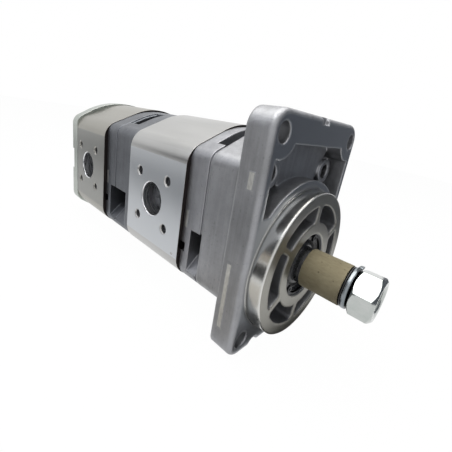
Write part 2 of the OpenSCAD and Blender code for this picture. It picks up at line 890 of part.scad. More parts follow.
module rear_cover() {
    color(EXTRUDED) difference() {
        along_x(rear_face, housing_2_back)
            gabled_outline(body_w + 2 * cover_overhang, body_h + 2 * cover_rise,
                           cover_crown_r, cover_slope, cover_corner_r);
        block([rear_face - over, -body_w, mid_z - channel_h / 2],
              [rear_face + channel_depth, body_w, mid_z + channel_h / 2]);
        through_holes(rear_face, housing_2_back);
        dowel_holes(housing_2_back);
        face_seal_groove(housing_2_back, -1);
    }
}

// Twin bearing block. 'gear_face' is the face that the gears run on and
// 'back_face' the one that carries the pressure seal.
module bearing_block(gear_face, back_face) {
    way = sign(back_face - gear_face);
    color(EXTRUDED) difference() {
        along_x(gear_face, back_face) figure_eight(gear_bore_r - 0.03);
        at_gear_axes() rod(gear_face - way * over, back_face + way * over, bush_seat_r);
        // Relief pockets towards the inlet and the outlet
        for (s = [-1, 1])
            translate([gear_face, s * 7.4, mid_z]) rod(-1.2, 1.2, 4.2);
        along_x(back_face + way * over, back_face - way * 2) block_seal_outline(0);
    }
}

module block_seal_outline(play) {
    intersection() {
        difference() {
            figure_eight(block_seal_out - play);
            figure_eight(block_seal_out - block_seal_w + play);
        }
        translate([-9 + play, -gear_centres]) square(3 * gear_centres);
    }
}

module block_seal(back_face, way) {
    along_x(back_face, back_face - way * 1.95) block_seal_outline(0.04);
}

module stage_1_front_bearing_block() {
    bearing_block(gear_1_front, housing_1_front);
}

module stage_1_rear_bearing_block() {
    bearing_block(gear_1_front - gear_1_w, housing_1_back);
}

module stage_2_front_bearing_block() {
    bearing_block(gear_2_front, housing_2_front);
}

module stage_2_rear_bearing_block() {
    bearing_block(gear_2_front - gear_2_w, housing_2_back);
}

// Four bushes of a stage, a little shorter than their blocks
module bushes(front, gear_front, gear_w, back) {
    sink = 0.4;
    color(BRONZE) at_gear_axes() {
        tube(gear_front + sink, front - sink, bush_seat_r - seat_play, bush_r);
        tube(back + sink, gear_front - gear_w - sink, bush_seat_r - seat_play, bush_r);
    }
}

module stage_1_bushes() {
    bushes(housing_1_front, gear_1_front, gear_1_w, housing_1_back);
}

module stage_2_bushes() {
    bushes(housing_2_front, gear_2_front, gear_2_w, housing_2_back);
}

module stage_1_block_seals() {
    color(RUBBER) {
        block_seal(housing_1_front, 1);
        block_seal(housing_1_back, -1);
    }
}

module stage_2_block_seals() {
    color(RUBBER) {
        block_seal(housing_2_front, 1);
        block_seal(housing_2_back, -1);
    }
}

module housing_seals() {
    color(RUBBER) {
        face_seal(housing_1_front, 1);
        face_seal(housing_1_back, -1);
        face_seal(housing_2_front, 1);
        face_seal(housing_2_back, -1);
    }
}

module inner_shaft_seals() {
    fronts = [flange_back - window_l, middle_joint + end_window_l + inner_seal_w,
              middle_joint - window_l];
    color(RUBBER) for (x = fronts) difference() {
        rod(x - inner_seal_w, x, inner_seal_r - seat_play);
        rod(x - inner_seal_w - over, x + over, journal_r + running_play);
        tube(x - 1.2, x + over, inner_seal_r - 1.2, journal_r + 1.2);
    }
}

module dowel_pins() {
    reach = dowel_depth - dowel_end_play;
    joints = [flange_back, housing_1_front, housing_1_back, middle_joint, housing_2_front,
              housing_2_back];
    color(STEEL) for (x = joints) at_dowels() rod(x - reach, x + reach, dowel_d / 2);
}

module through_bolts() {
    seat = rear_face - tie_washer_t;
    color(DARK_STEEL) at_through_bolts() difference() {
        union() {
            rod(seat, tie_tip, tie_r);
            rod(seat - tie_head_h + 1, seat, tie_head_d / 2);
            cone(seat - tie_head_h, seat - tie_head_h + 1, tie_head_d / 2 - 1, tie_head_d / 2);
        }
        translate([seat - tie_head_h - over, 0, 0]) rotate([0, 90, 0])
            cylinder(h = tie_head_h / 2 + over, d = tie_head_d * 0.58, $fn = 6);
    }
}

module through_bolt_washers() {
    color(ZINC) at_through_bolts()
        tube(rear_face - tie_washer_t, rear_face, tie_head_d / 2 + 1, tie_hole_r);
}

// Tongue across a shaft end, along Y or turned by 'turn'
module tongue(x0, x1, shaft_r, turn) {
    intersection() {
        rod(x0, x1, shaft_r);
        rotate([turn, 0, 0])
            block([x0 - over, -2 * shaft_r, -tongue_t / 2], [x1 + over, 2 * shaft_r, tongue_t / 2]);
    }
}

module drive_shaft() {
    collar_back = front_coupling_front + coupling_end_play;
    color(STEEL) difference() {
        union() {
            cone(shaft_end - 1, shaft_end, thread_r, thread_r - 1);
            rod(taper_end - over, shaft_end - 1, thread_r);
            cone(shoulder_x, taper_end, taper_d / 2, taper_d / 2 - taper_l / 10);
            rod(collar_back, shoulder_x, shaft_d / 2);
            rod(collar_back, bearing_back, shaft_d / 2 + 2.5);
            tongue(front_coupling_front - tongue_l, collar_back + over, shaft_d / 2, 0);
        }
        // Centre drilled in the nose
        cone(shaft_end - centre_drill_l, shaft_end, 0.2, centre_drill_r);
        key_disc(key_w);
    }
}

// Disc of the woodruff key, seated so that its flat stands proud of the taper
module key_disc(w) {
    translate([key_x, 0, key_top + key_d / 2 - key_h]) rotate([90, 0, 0])
        cylinder(h = w, d = key_d, center = true);
}

module woodruff_key() {
    color(STEEL) intersection() {
        translate([key_x, 0, key_top + key_d / 2 - key_h]) rotate([90, 0, 0])
            cylinder(h = key_w - 2 * seat_play, r = key_d / 2 - seat_play, center = true);
        block([0, -key_w, 0], [taper_end, key_w, key_top]);
    }
}

module taper_sleeve() {
    color(CARDBOARD) tube(shoulder_x, sleeve_end, sleeve_d / 2, sleeve_d / 2 - sleeve_wall);
}

module thin_ring() {
    color(RUBBER) tube(sleeve_end, ring_end, ring_d / 2, thread_r + seat_play);
}

// Plain washer with one tab bent over a flat of the nut
module tab_washer() {
    tab_w = 3.4;
    tab_in = nut_af / 2 + 0.95;
    tab_top = tab_in + 0.9;
    color(ZINC) {
        tube(ring_end, washer_end, washer_d / 2, thread_r + seat_play);
        block([ring_end + 0.4, -tab_w / 2, thread_r + 2], [washer_end, tab_w / 2, tab_top]);
        block([washer_end - over, -tab_w / 2, tab_in], [washer_end + 1.3, tab_w / 2, tab_top]);
    }
}

// Hexagon nut whose corners are turned down at both ends
module shaft_nut() {
    corner_r = nut_af / 2 / cos(30);
    flat_r = nut_af / 2 * 0.95;
    fall = (corner_r - flat_r) * tan(30) + 0.4;
    turned = corner_r + 0.7;
    color(ZINC) difference() {
        intersection() {
            rotate([104.5, 0, 0]) translate([washer_end, 0, 0]) rotate([90, 0, 90])
                cylinder(h = nut_h, r = corner_r, $fn = 6);
            translate([washer_end, 0, 0]) rotate([0, 90, 0]) rotate_extrude()
                polygon([[0, 0], [flat_r, 0], [turned, fall], [turned, nut_h - fall],
                         [flat_r, nut_h], [0, nut_h]]);
        }
        rod(washer_end - over, nut_end + over, thread_r + seat_play);
        cone(nut_end - 1, nut_end + 0.1, thread_r - 0.1, thread_r + 1);
    }
}

// Coupling disc with a slot in each end, the second square to the first
module coupling(front, back) {
    slot = tongue_t / 2 + slot_play;
    color(DARK_STEEL) difference() {
        rod(back, front, coupling_r);
        block([front - slot_depth, -2 * coupling_r, -slot], [front + over, 2 * coupling_r, slot]);
        block([back - over, -slot, -2 * coupling_r], [back + slot_depth, slot, 2 * coupling_r]);
    }
}

module front_coupling() {
    coupling(front_coupling_front, front_coupling_back);
}

module middle_coupling() {
    coupling(middle_coupling_front, middle_coupling_back);
}

// Involute function, in degrees
function involute(a) = tan(a) * 180 / PI - a;

// Half angle of a tooth at radius r, from the involute of the base circle
function tooth_angle(r) =
    half_tooth + involute(pressure_angle) - involute(acos(min(1, base_r / r)));

// Points of one tooth about the Y axis, from root to tip and back
function tooth_points(steps) =
    let (past_tip = tip_r + 0.2,
         radii = [root_r - 1, for (i = [0 : steps]) base_r + (past_tip - base_r) * i / steps])
    concat([for (r = radii) r * [cos(tooth_angle(max(r, base_r))), sin(tooth_angle(max(r, base_r)))]],
           [for (i = [len(radii) - 1 : -1 : 0])
            let (r = radii[i], a = tooth_angle(max(r, base_r))) r * [cos(a), -sin(a)]]);

module gear_outline() {
    intersection() {
        union() {
            circle(root_r);
            for (k = [0 : gear_teeth - 1]) rotate(90 + k * 360 / gear_teeth)
                polygon(tooth_points(6));
        }
        circle(tip_r);
    }
}

module gear_body(front, w, turn) {
    along_x(front - w + gear_end_play, front - gear_end_play) rotate(turn) gear_outline();
}

module stage_1_drive_gear() {
    nose = front_coupling_back - coupling_end_play;
    tail = middle_coupling_front + coupling_end_play;
    color(STEEL) {
        gear_body(gear_1_front, gear_1_w, 0);
        rod(tail, nose, journal_r);
        tongue(nose - over, front_coupling_back + tongue_l, journal_r, 90);
        tongue(middle_coupling_front - tongue_l, tail + over, journal_r, 0);
    }
}

module stage_2_drive_gear() {
    nose = middle_coupling_back - coupling_end_play;
    color(STEEL) {
        gear_body(gear_2_front, gear_2_w, 0);
        rod(housing_2_back + 0.3, nose, journal_r);
        tongue(nose - over, middle_coupling_back + tongue_l, journal_r, 90);
    }
}

// Driven gear, turned by half a tooth so that it meshes at rest when the
// tooth count is even
module driven_gear(front, gear_front, w, back) {
    half_turn = 180 / gear_teeth * (gear_teeth % 2 == 0 ? 1 : 0);
    color(STEEL) translate([0, 0, gear_centres]) {
        gear_body(gear_front, w, half_turn);
        rod(back + 0.3, front - 0.3, journal_r);
    }
}

module stage_1_driven_gear() {
    driven_gear(housing_1_front, gear_1_front, gear_1_w, housing_1_back);
}

module stage_2_driven_gear() {
    driven_gear(housing_2_front, gear_2_front, gear_2_w, housing_2_back);
}

flange_cover();
shaft_seal();
seal_circlip();
bearing_outer_ring();
bearing_circlip();
stage_1_front_casting();
stage_1_housing();
stage_1_end_casting();
stage_2_front_casting();
stage_2_housing();
rear_cover();
stage_1_front_bearing_block();
stage_1_rear_bearing_block();
stage_1_bushes();
stage_2_front_bearing_block();
stage_2_rear_bearing_block();
stage_2_bushes();
stage_1_block_seals();
stage_2_block_seals();
housing_seals();
inner_shaft_seals();
dowel_pins();
through_bolts();
through_bolt_washers();
drive_shaft();
woodruff_key();
taper_sleeve();
thin_ring();
tab_washer();
shaft_nut();
bearing_inner_ring();
front_coupling();
middle_coupling();
stage_1_drive_gear();
stage_2_drive_gear();
stage_1_driven_gear();
stage_2_driven_gear();
bearing_cage();
bearing_balls();
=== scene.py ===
# %% [markdown]
# # A tandem gear pump, dressed over its CAD frame
#
# The pump is two light housings between dark castings, on a flange with a polished pilot and a
# tapered shaft that a cardboard sleeve protects. The CAD model already has its bodies, holes and
# joints at the right size, so Blender adds what CAD leaves out: the finishes, the threads, the
# knurled heads, the turned corners of the nut and the trimmed gates of the castings.
#
# The frame is the CAD's: +X out along the shaft, +Z up. Blender works in metres. Sizes are written
# here in millimetres, and MM turns them to metres where they reach a mesh, a node or the camera.

# %% Load the frame
import json
from math import cos, pi, radians, sin, tan

import bpy
import numpy as np
from mathutils import Matrix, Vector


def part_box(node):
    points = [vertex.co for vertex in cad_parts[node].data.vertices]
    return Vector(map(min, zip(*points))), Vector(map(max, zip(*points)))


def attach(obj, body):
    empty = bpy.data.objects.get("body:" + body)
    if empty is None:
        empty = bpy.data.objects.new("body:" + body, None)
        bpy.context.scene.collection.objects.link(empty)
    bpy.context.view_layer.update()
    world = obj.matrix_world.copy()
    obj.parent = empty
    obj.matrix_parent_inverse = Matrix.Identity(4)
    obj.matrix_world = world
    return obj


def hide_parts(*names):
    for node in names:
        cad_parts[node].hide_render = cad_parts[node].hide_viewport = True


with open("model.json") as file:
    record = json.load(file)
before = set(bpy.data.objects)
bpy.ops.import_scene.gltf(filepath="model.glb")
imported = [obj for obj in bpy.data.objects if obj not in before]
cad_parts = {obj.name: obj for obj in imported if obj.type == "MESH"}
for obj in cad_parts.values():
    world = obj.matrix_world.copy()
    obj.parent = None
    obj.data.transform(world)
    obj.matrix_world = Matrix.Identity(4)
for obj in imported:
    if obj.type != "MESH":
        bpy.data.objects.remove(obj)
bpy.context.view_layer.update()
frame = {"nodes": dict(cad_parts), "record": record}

scene = bpy.context.scene
MM = 0.001

# %% [markdown]
# ## Helpers for meshes
#
# A shape here is a grid: a function of two parameters gives every point at once as a numpy array.
# A grid that closes on itself along its columns makes a turned piece, and one that closes along
# its rows as well makes a ring. Where a turned grid stays open at its ends, a polygon caps each.

# %% Meshes from grids
def add_mesh(name, points, faces, smooth=True):
    """A mesh object from an array of points in millimetres and a list of face index lists."""
    mesh = bpy.data.meshes.new(name)
    mesh.from_pydata((np.reshape(points, (-1, 3)) * MM).tolist(), [], faces)
    mesh.update()
    mesh.polygons.foreach_set("use_smooth", np.full(len(mesh.polygons), smooth))
    obj = bpy.data.objects.new(name, mesh)
    scene.collection.objects.link(obj)
    return obj


def grid_faces(rows, cols, wrap_rows=False, wrap_cols=True, start=0):
    """Quads between neighbouring rows and columns: point (i, j) is number start + i * cols + j."""
    i, j = np.meshgrid(np.arange(rows if wrap_rows else rows - 1),
                       np.arange(cols if wrap_cols else cols - 1), indexing="ij")
    i, j = i.ravel(), j.ravel()
    i2, j2 = (i + 1) % rows, (j + 1) % cols
    quads = np.stack([i * cols + j, i * cols + j2, i2 * cols + j2, i2 * cols + j], axis=1)
    return (quads + start).tolist()


def grid_mesh(name, grid, wrap_rows=False, wrap_cols=True, smooth=True):
    """A mesh object from one grid of points."""
    return add_mesh(name, grid, grid_faces(*grid.shape[:2], wrap_rows, wrap_cols), smooth)


def capped_faces(grid, start=0):
    """Quads of a turned grid and the two polygons that close its ends."""
    rows, cols = grid.shape[:2]
    last = start + (rows - 1) * cols
    return grid_faces(rows, cols, start=start) + [list(range(start, start + cols)),
                                                  list(range(last, last + cols))]


print("a ring of 4 by 128 points has", len(grid_faces(4, 128, wrap_rows=True)), "faces")

# %% Turned pieces that face outwards
def face_outwards(obj):
    """Turns the mesh so that its volume, by the divergence theorem, is positive: the sum over the
    triangles of one corner dotted with the cross product of the other two."""
    mesh = obj.data
    mesh.calc_loop_triangles()
    co = np.zeros(len(mesh.vertices) * 3)
    mesh.vertices.foreach_get("co", co)
    tri = np.zeros(len(mesh.loop_triangles) * 3, np.int32)
    mesh.loop_triangles.foreach_get("vertices", tri)
    a, b, c = co.reshape(-1, 3)[tri.reshape(-1, 3)].transpose(1, 0, 2)
    if np.einsum("ij,ij->", a, np.cross(b, c)) < 0:
        mesh.flip_normals()


def sharpen(obj, degrees):
    """Keeps edges sharper than the given angle crisp under smooth shading."""
    obj.data.set_sharp_from_angle(angle=radians(degrees))


def angles(count):
    """Evenly spaced angles of a full turn."""
    return np.linspace(0, 2 * pi, count, endpoint=False)


def turned(x, r, theta):
    """Points on a body of revolution about X: x is the station, r the radius, theta the angle from
    +Y towards +Z. The three arrays are broadcast to one grid."""
    x, r, theta = np.broadcast_arrays(x, r, theta)
    return np.stack([x, r * np.cos(theta), r * np.sin(theta)], axis=-1)


def ring_piece(name, profile, count, centres=((0, 0),), edge=35):
    """A closed profile of (x, r) pairs turned about X, once round each centre (y, z)."""
    profile = np.array(profile, float)
    ring = turned(profile[:, :1], profile[:, 1:], angles(count)[None, :]).reshape(-1, 3)
    rings = [ring + [0, y, z] for y, z in centres]
    faces = sum([grid_faces(len(profile), count, wrap_rows=True, start=k * len(ring))
                 for k in range(len(rings))], [])
    obj = add_mesh(name, np.concatenate(rings), faces)
    face_outwards(obj)
    sharpen(obj, edge)
    return obj


print("a turned grid of one station:", turned(0.0, 1.0, angles(4)).shape)

# %% [markdown]
# ## Helpers for materials
#
# Colours are written as sRGB hex values and turned to linear light by one function. One small
# function adds a node of any kind with its settings and links. Patterns read Object coordinates,
# so they stay on the piece, and their scales are worked out from real sizes in millimetres.

# %% Colours and nodes
def linear(hex_colour):
    """Linear red, green, blue and alpha of an sRGB hex colour, by the sRGB transfer curve."""
    c = np.array([int(hex_colour[k:k + 2], 16) for k in (1, 3, 5)]) / 255
    c = np.where(c <= 0.04045, c / 12.92, ((c + 0.055) / 1.055) ** 2.4)
    return (*c.tolist(), 1.0)


def fill(tree, node, sockets):
    """Fills a node's inputs: another node's output is linked, and a value is set."""
    for key, value in sockets.items():
        if isinstance(value, bpy.types.NodeSocket):
            tree.links.new(value, node.inputs[key])
        else:
            node.inputs[key].default_value = value


def add(tree, kind, sockets=(), out=0, **settings):
    """Adds a node and returns one of its outputs. Inputs come in order, or by name or number."""
    node = tree.nodes.new("ShaderNode" + kind)
    for key, value in settings.items():
        setattr(node, key, value)
    fill(tree, node, sockets if isinstance(sockets, dict) else dict(enumerate(sockets)))
    return node.outputs[out] if len(node.outputs) else node


def per_lump(size_mm):
    """The scale at which a noise's lumps are about this wide: a half over the size in metres."""
    return 0.5 / (size_mm * MM)


RGBA = {"out": 2, "data_type": "RGBA"}  # turns a Mix node to colours: factor 0, colours 6 and 7
print("mid grey, sRGB 128 of 255, is", round(linear("#808080")[0], 3), "in linear light")

# %% A finish
class Finish:
    """A material with its node tree, its Principled shader and the piece's own coordinates."""

    def __init__(self, name, metallic=1.0, **values):
        self.material = bpy.data.materials.new(name)
        self.material.use_nodes = True
        self.tree = self.material.node_tree
        self.shader = self.tree.nodes["Principled BSDF"]
        self.set(Metallic=metallic, **values)
        self.place = self.add("TexCoord", out="Object")
        self.x, self.y, self.z = self.add("SeparateXYZ", (self.place,)).node.outputs

    def add(self, kind, sockets=(), out=0, **settings):
        """Adds a node to this material."""
        return add(self.tree, kind, sockets, out, **settings)

    def set(self, **sockets):
        """Fills the shader's inputs, written with _ for a space, and returns the material."""
        fill(self.tree, self.shader, {key.replace("_", " "): v for key, v in sockets.items()})
        return self.material

    def hypotenuse(self, a, b):
        """The square root of the sum of two squares."""
        squares = [self.add("Math", (side, side), operation="MULTIPLY") for side in (a, b)]
        return self.add("Math", (self.add("Math", squares, operation="ADD"),), operation="SQRT")

    def soft_edge(self, radius_mm):
        """Normal that rounds an edge over radius_mm, and a mask that is one along such edges,
        where the rounded normal and the flat one part."""
        rounded = self.add("Bevel", {"Radius": radius_mm * MM}, samples=6)
        flat = self.add("NewGeometry", out="Normal")
        agree = self.add("VectorMath", (rounded, flat), out="Value", operation="DOT_PRODUCT")
        return rounded, self.add("MapRange", (agree, 0.995, 0.8))


def dress(obj, material):
    """Gives the material to every slot of a piece."""
    if not obj.material_slots:
        obj.data.materials.append(material)
    for slot in obj.material_slots:
        slot.material = material


print("a finish can", [name for name in vars(Finish) if not name.startswith("_")])

# %% [markdown]
# ## Finishes
#
# ### Die-cast aluminium
# The flange and the coupling castings are pressure die cast and tumbled: a mid grey with a fine
# sparkle, soft blotches where the metal froze first, faint flow lines, and paler edges where parts
# knocked together. One function makes the skin of all the castings. The lathe then cuts the
# flange's pilot, its rim and the mounting face: masks by the distance from the axis and the place
# along it find these, and fine rings go round them.

# %% The flange's turned faces
PILOT_R = 40.0       # radius of the polished wall
WALL_STARTS = -0.8   # where the wall starts along X
RIM_STARTS = 7.25    # all that lies beyond is the pilot's flat rim
RING_PITCH = 0.22    # tool marks, drawn coarser than the real ones so that they show


def turned_faces(f, colour, rough, height):
    """Cuts wall, rim and face into the cast skin, and returns its colour, roughness and height.
    Wall: near the pilot's radius. Rim: beyond its station. Face: near the station nought."""
    from_axis = f.hypotenuse(f.y, f.z)
    near_wall = f.add("Math", (from_axis, PILOT_R * MM, 0.35 * MM), operation="COMPARE")
    before = f.add("Math", (f.x, WALL_STARTS * MM), operation="GREATER_THAN")
    wall = f.add("Math", (near_wall, before), operation="MULTIPLY")
    rim = f.add("Math", (f.x, RIM_STARTS * MM), operation="GREATER_THAN")
    face = f.add("Math", (f.x, 0.0, 0.05 * MM), operation="COMPARE")
    flat = f.add("Math", (rim, face), operation="MAXIMUM")
    rings = f.add("Math", (from_axis, 1 / (RING_PITCH * MM)), operation="MULTIPLY")
    rings = f.add("TexNoise", {"W": rings, "Detail": 2.0}, noise_dimensions="1D")
    ring_share = f.add("MapRange", (rings, 0.3, 0.7))
    ringed = f.add("Mix", {0: ring_share, 6: linear("#86857f"), 7: linear("#9f9d96")}, **RGBA)
    for mask, tint in ((face, linear("#93969b")), (rim, ringed), (wall, linear("#cfcfcc"))):
        colour = f.add("Mix", {0: mask, 6: colour, 7: tint}, **RGBA)
    flat_rough = f.add("MapRange", (rings, 0.3, 0.7, 0.3, 0.42))
    rough = f.add("Mix", {0: flat, 2: rough, 3: flat_rough})
    round_it = f.add("Mapping", {"Vector": f.place, "Scale": (10, 1 / 8, 1 / 8)})
    polish = f.add("TexNoise", {"Vector": round_it, "Scale": per_lump(1.5), "Detail": 3.0,
                                "Roughness": 0.6})
    wall_rough = f.add("MapRange", (polish, 0.35, 0.65, 0.17, 0.26))
    rough = f.add("Mix", {0: wall, 2: rough, 3: wall_rough})
    cut = f.add("Math", (flat, wall), operation="MAXIMUM")
    grooves = f.add("Math", (rings, 0.25), operation="MULTIPLY")
    return colour, rough, f.add("Mix", {0: cut, 2: height, 3: grooves})


print("polished wall:", 2 * PILOT_R, "mm across, up to", RIM_STARTS, "mm")

# %% Die-cast aluminium
def die_cast(name, dark, pale, worn, cut_faces=False):
    """Cast skin: half blotches and half flow lines set the tone between dark and pale, edges are
    worn, specks are dark, and the grain with 0.8 of a coarser noise is its height. The grain, of
    0.35 mm, is drawn coarser than the real sparkle, so that it shows."""
    f = Finish(name)
    rounded, edge = f.soft_edge(1.6 if cut_faces else 0.9)
    blotch, grain, coarse, speck = (
        f.add("TexNoise", {"Vector": f.place, "Scale": per_lump(mm), "Detail": detail,
                           "Roughness": uneven})
        for mm, detail, uneven in ((11, 4, 0.6), (0.35, 2, 0.6), (1.6, 3, 0.6), (0.8, 1, 0.5)))
    drawn = f.add("Mapping", {"Vector": f.place, "Scale": (1, 1, 1 / 12)})
    flow = f.add("TexNoise", {"Vector": drawn, "Scale": per_lump(1.9), "Detail": 4,
                              "Roughness": 0.6})
    tone = f.add("Mix", {0: 0.5, 2: f.add("MapRange", (blotch, 0.35, 0.65)),
                         3: f.add("MapRange", (flow, 0.3, 0.7))})
    worn_share = f.add("Math", (edge, 0.5), operation="MULTIPLY")
    speck_share = f.add("MapRange", (speck, 0.68, 0.74, 0.0, 0.18))
    colour = linear(dark)
    for share, tint in ((tone, pale), (worn_share, worn), (speck_share, "#3c3d40")):
        colour = f.add("Mix", {0: share, 6: colour, 7: linear(tint)}, **RGBA)
    rough = f.add("MapRange", (grain, 0.3, 0.7, 0.38, 0.54))
    rough = f.add("Mix", {0: edge, 2: rough, 3: 0.34})
    height = f.add("Math", (coarse, 0.8, grain), operation="MULTIPLY_ADD")
    if cut_faces:
        colour, rough, height = turned_faces(f, colour, rough, height)
    bump = f.add("Bump", {"Height": height, "Distance": 0.06 * MM, "Normal": rounded})
    return f.set(Base_Color=colour, Roughness=rough, Normal=bump)


cast_flange = die_cast("die_cast_aluminium_turned_pilot", "#868789", "#a8a9ad", "#bfc0c3", True)
cast_plain = die_cast("die_cast_aluminium", "#828387", "#a4a5a9", "#bdbec2")
cast_rear = die_cast("die_cast_aluminium_dull", "#5f6166", "#7b7e83", "#a2a7ae")
print("castings:", [m.name for m in (cast_flange, cast_plain, cast_rear)])

# %% [markdown]
# ### Extruded aluminium
# The housings are cut from an extruded bar, so fine die lines run along X over the dome, and the
# port faces are fly-cut with a finer, brighter grain. The ports are bored, which leaves rings in
# bright metal, and the bores are painted paler still: partly bored metal, partly painted light. The
# sawn ends get painted shade, and the pale edges are partly wear and partly painted highlight. The
# rear housing and the cover came from other bars, so each has its own tone.

# %% Ports and sawn ends
PORT_X = (-76.2, -169.2)   # the port axes of the two stages along X
PORT_Z = 15.9              # their height, in the middle between the gears
FACE_Y = 43.2              # the port faces, on both sides
BORED_R = 10.8             # everything nearer to the axis is inside the port
SAWN_ENDS = [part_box(node)[1].x / MM for node in ("stage_1_housing", "stage_2_housing")]


def from_port_axis(f):
    """Distance from the nearer port axis: the place along X is folded about the middle of the
    two, so that both axes fall on one."""
    middle, half = (PORT_X[0] + PORT_X[1]) / 2, (PORT_X[0] - PORT_X[1]) / 2
    from_middle = f.add("Math", (f.x, middle * MM), operation="SUBTRACT")
    folded = f.add("Math", (from_middle,), operation="ABSOLUTE")
    along = f.add("Math", (folded, half * MM), operation="SUBTRACT")
    above = f.add("Math", (f.z, PORT_Z * MM), operation="SUBTRACT")
    return f.hypotenuse(along, above)


print("sawn ends at", [round(x, 1) for x in SAWN_ENDS], "mm")

# %% Extruded aluminium
def extruded(name, dark, pale, cut):
    """Bar skin: 0.35 of fine lines and 0.65 of broad bands set the tone between dark and pale.
    Over it come the cut port faces, pale edges of wear and painted highlight, painted shade on the
    sawn ends, and pale bores that are partly bored metal and partly painted light. Die lines, tool
    marks and rings, of 0.3 to 0.45 mm, are drawn coarser than the real ones, so that they show."""
    f = Finish(name)
    rounded, edge = f.soft_edge(0.5)
    die_lines, broad, cut_lines, rings = (
        f.add("TexNoise", {"Vector": f.add("Mapping", {"Vector": f.place, "Scale": squeeze}),
                           "Scale": per_lump(mm), "Detail": detail, "Roughness": uneven})
        for mm, detail, uneven, squeeze in (
            (0.45, 4, 0.65, (1 / 60, 1, 1)), (12, 3, 0.5, (1 / 4, 1, 1)),
            (0.3, 3, 0.6, (1, 1, 1 / 12)), (0.45, 2, 0.5, (1 / 30, 1, 1 / 30))))
    aside = f.add("Math", (f.y,), operation="ABSOLUTE")
    port_face = f.add("Math", (aside, FACE_Y * MM, 0.05 * MM), operation="COMPARE")
    # Painted shade: the sawn ends are darkened.
    ends = [f.add("Math", (f.x, x * MM, 0.06 * MM), operation="COMPARE") for x in SAWN_ENDS]
    # The bore is made pale: partly bright bored metal, partly painted light inside the ports.
    within = f.add("Math", (from_port_axis(f), BORED_R * MM), operation="LESS_THAN")
    behind = f.add("Math", (aside, (FACE_Y - 0.05) * MM), operation="LESS_THAN")
    bore = f.add("Math", (within, behind), operation="MULTIPLY")
    lines = f.add("Mix", {0: port_face, 2: die_lines, 3: cut_lines})
    tone = f.add("Mix", {0: 0.65, 2: f.add("MapRange", (lines, 0.3, 0.7)),
                         3: f.add("MapRange", (broad, 0.35, 0.65))})
    colour = linear(dark)
    # The edge tint is partly wear and partly painted highlight; the sawn ends' dark tint is painted
    # shade.
    for share, tint in ((tone, pale),
                        (f.add("Math", (port_face, 0.75), operation="MULTIPLY"), cut),
                        (f.add("Math", (edge, 0.6), operation="MULTIPLY"), "#f0f0ee"),
                        (f.add("Math", ends, operation="MAXIMUM"), "#3d3836"),
                        (bore, "#e2e3e5")):
        colour = f.add("Mix", {0: share, 6: colour, 7: linear(tint)}, **RGBA)
    rough = f.add("Mix", {0: bore, 2: f.add("MapRange", (lines, 0.3, 0.7, 0.28, 0.38)),
                          3: f.add("MapRange", (rings, 0.3, 0.7, 0.2, 0.34))})
    depth = f.add("Mix", {0: port_face, 2: 1.0, 3: 0.3})
    height = f.add("Math", (lines, depth), operation="MULTIPLY")
    bump = f.add("Bump", {"Height": height, "Distance": 0.012 * MM, "Normal": rounded})
    return f.set(Base_Color=colour, Roughness=rough, Normal=bump)


extruded_body = extruded("extruded_aluminium", "#aaaaa9", "#bbbbba", "#c2c6cb")
extruded_rear = extruded("extruded_aluminium_rear", "#93928c", "#a3a19a", "#8b8c8a")
extruded_cover = extruded("extruded_aluminium_cover", "#a3a9a3", "#b6bbb5", "#acb2ac")
print("bars:", [m.name for m in (extruded_body, extruded_rear, extruded_cover)])

# %% [markdown]
# ### Steels
# The nut and washers are bright zinc plate: nearly a mirror, with a faint cool blue and slight
# orange peel. The tab washer has the same plate, but rolled and duller, and its front face under
# the
# nut is painted dark: painted shade. Shaft, gears, dowels and rings are ground, with fine rings
# round X. Bolts, circlips and couplings are blackened, which leaves an oily dark grey.

# %% Bright steels
WASHER_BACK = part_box("thin_ring")[1].x / MM
WASHER_FRONT = WASHER_BACK + 2.1


def zinc_plate():
    """A cloud sets the tone, a second noise the roughness, and a third is the orange peel."""
    f = Finish("bright_zinc_plated_steel")
    cloud, haze, peel = (
        f.add("TexNoise", {"Vector": f.place, "Scale": per_lump(mm), "Detail": detail,
                           "Roughness": uneven})
        for mm, detail, uneven in ((3.0, 3, 0.6), (1.4, 2, 0.5), (2.2, 2, 0.5)))
    colour = f.add("Mix", {0: f.add("MapRange", (cloud, 0.35, 0.65)), 6: linear("#b3b8b5"),
                           7: linear("#bec1bf")}, **RGBA)
    return f.set(Base_Color=colour, Roughness=f.add("MapRange", (haze, 0.3, 0.7, 0.12, 0.17)),
                 Normal=f.add("Bump", {"Height": peel, "Distance": 0.001 * MM}))


def ringed_metal(name, ring_mm, drawn, dark, pale, low, high, shaded_at_mm=None):
    """Noise drawn out round X sets tone, roughness and height. Its rings, ring_mm wide, are drawn
    coarser than a tool leaves them, so that they show, and each is longer by the factor drawn.
    A face at the station given as the last argument is painted dark: painted shade."""
    f = Finish(name)
    round_it = f.add("Mapping", {"Vector": f.place, "Scale": (2, 1 / drawn, 1 / drawn)})
    ring = f.add("TexNoise", {"Vector": round_it, "Scale": per_lump(ring_mm), "Detail": 3,
                              "Roughness": 0.6})
    colour = f.add("Mix", {0: f.add("MapRange", (ring, 0.3, 0.7)), 6: linear(dark),
                           7: linear(pale)}, **RGBA)
    if shaded_at_mm is not None:
        # Painted shade: the washer's front face under the nut is darkened.
        painted_shade = f.add("Math", (f.x, shaded_at_mm * MM, 0.06 * MM), operation="COMPARE")
        colour = f.add("Mix", {0: painted_shade, 6: colour, 7: linear("#15161a")}, **RGBA)
    return f.set(Base_Color=colour, Roughness=f.add("MapRange", (ring, 0.3, 0.7, low, high)),
                 Normal=f.add("Bump", {"Height": ring, "Distance": 0.01 * MM}))


zinc = zinc_plate()
dull_zinc = ringed_metal("dull_zinc_plated_steel", 0.25, 30, "#767c80", "#9aa0a4", 0.24, 0.36,
                         WASHER_FRONT)
ground = ringed_metal("ground_steel", 0.25, 30, "#9b9c9f", "#b7b8bb", 0.18, 0.3)
print("bright steels:", [m.name for m in (zinc, dull_zinc, ground)])

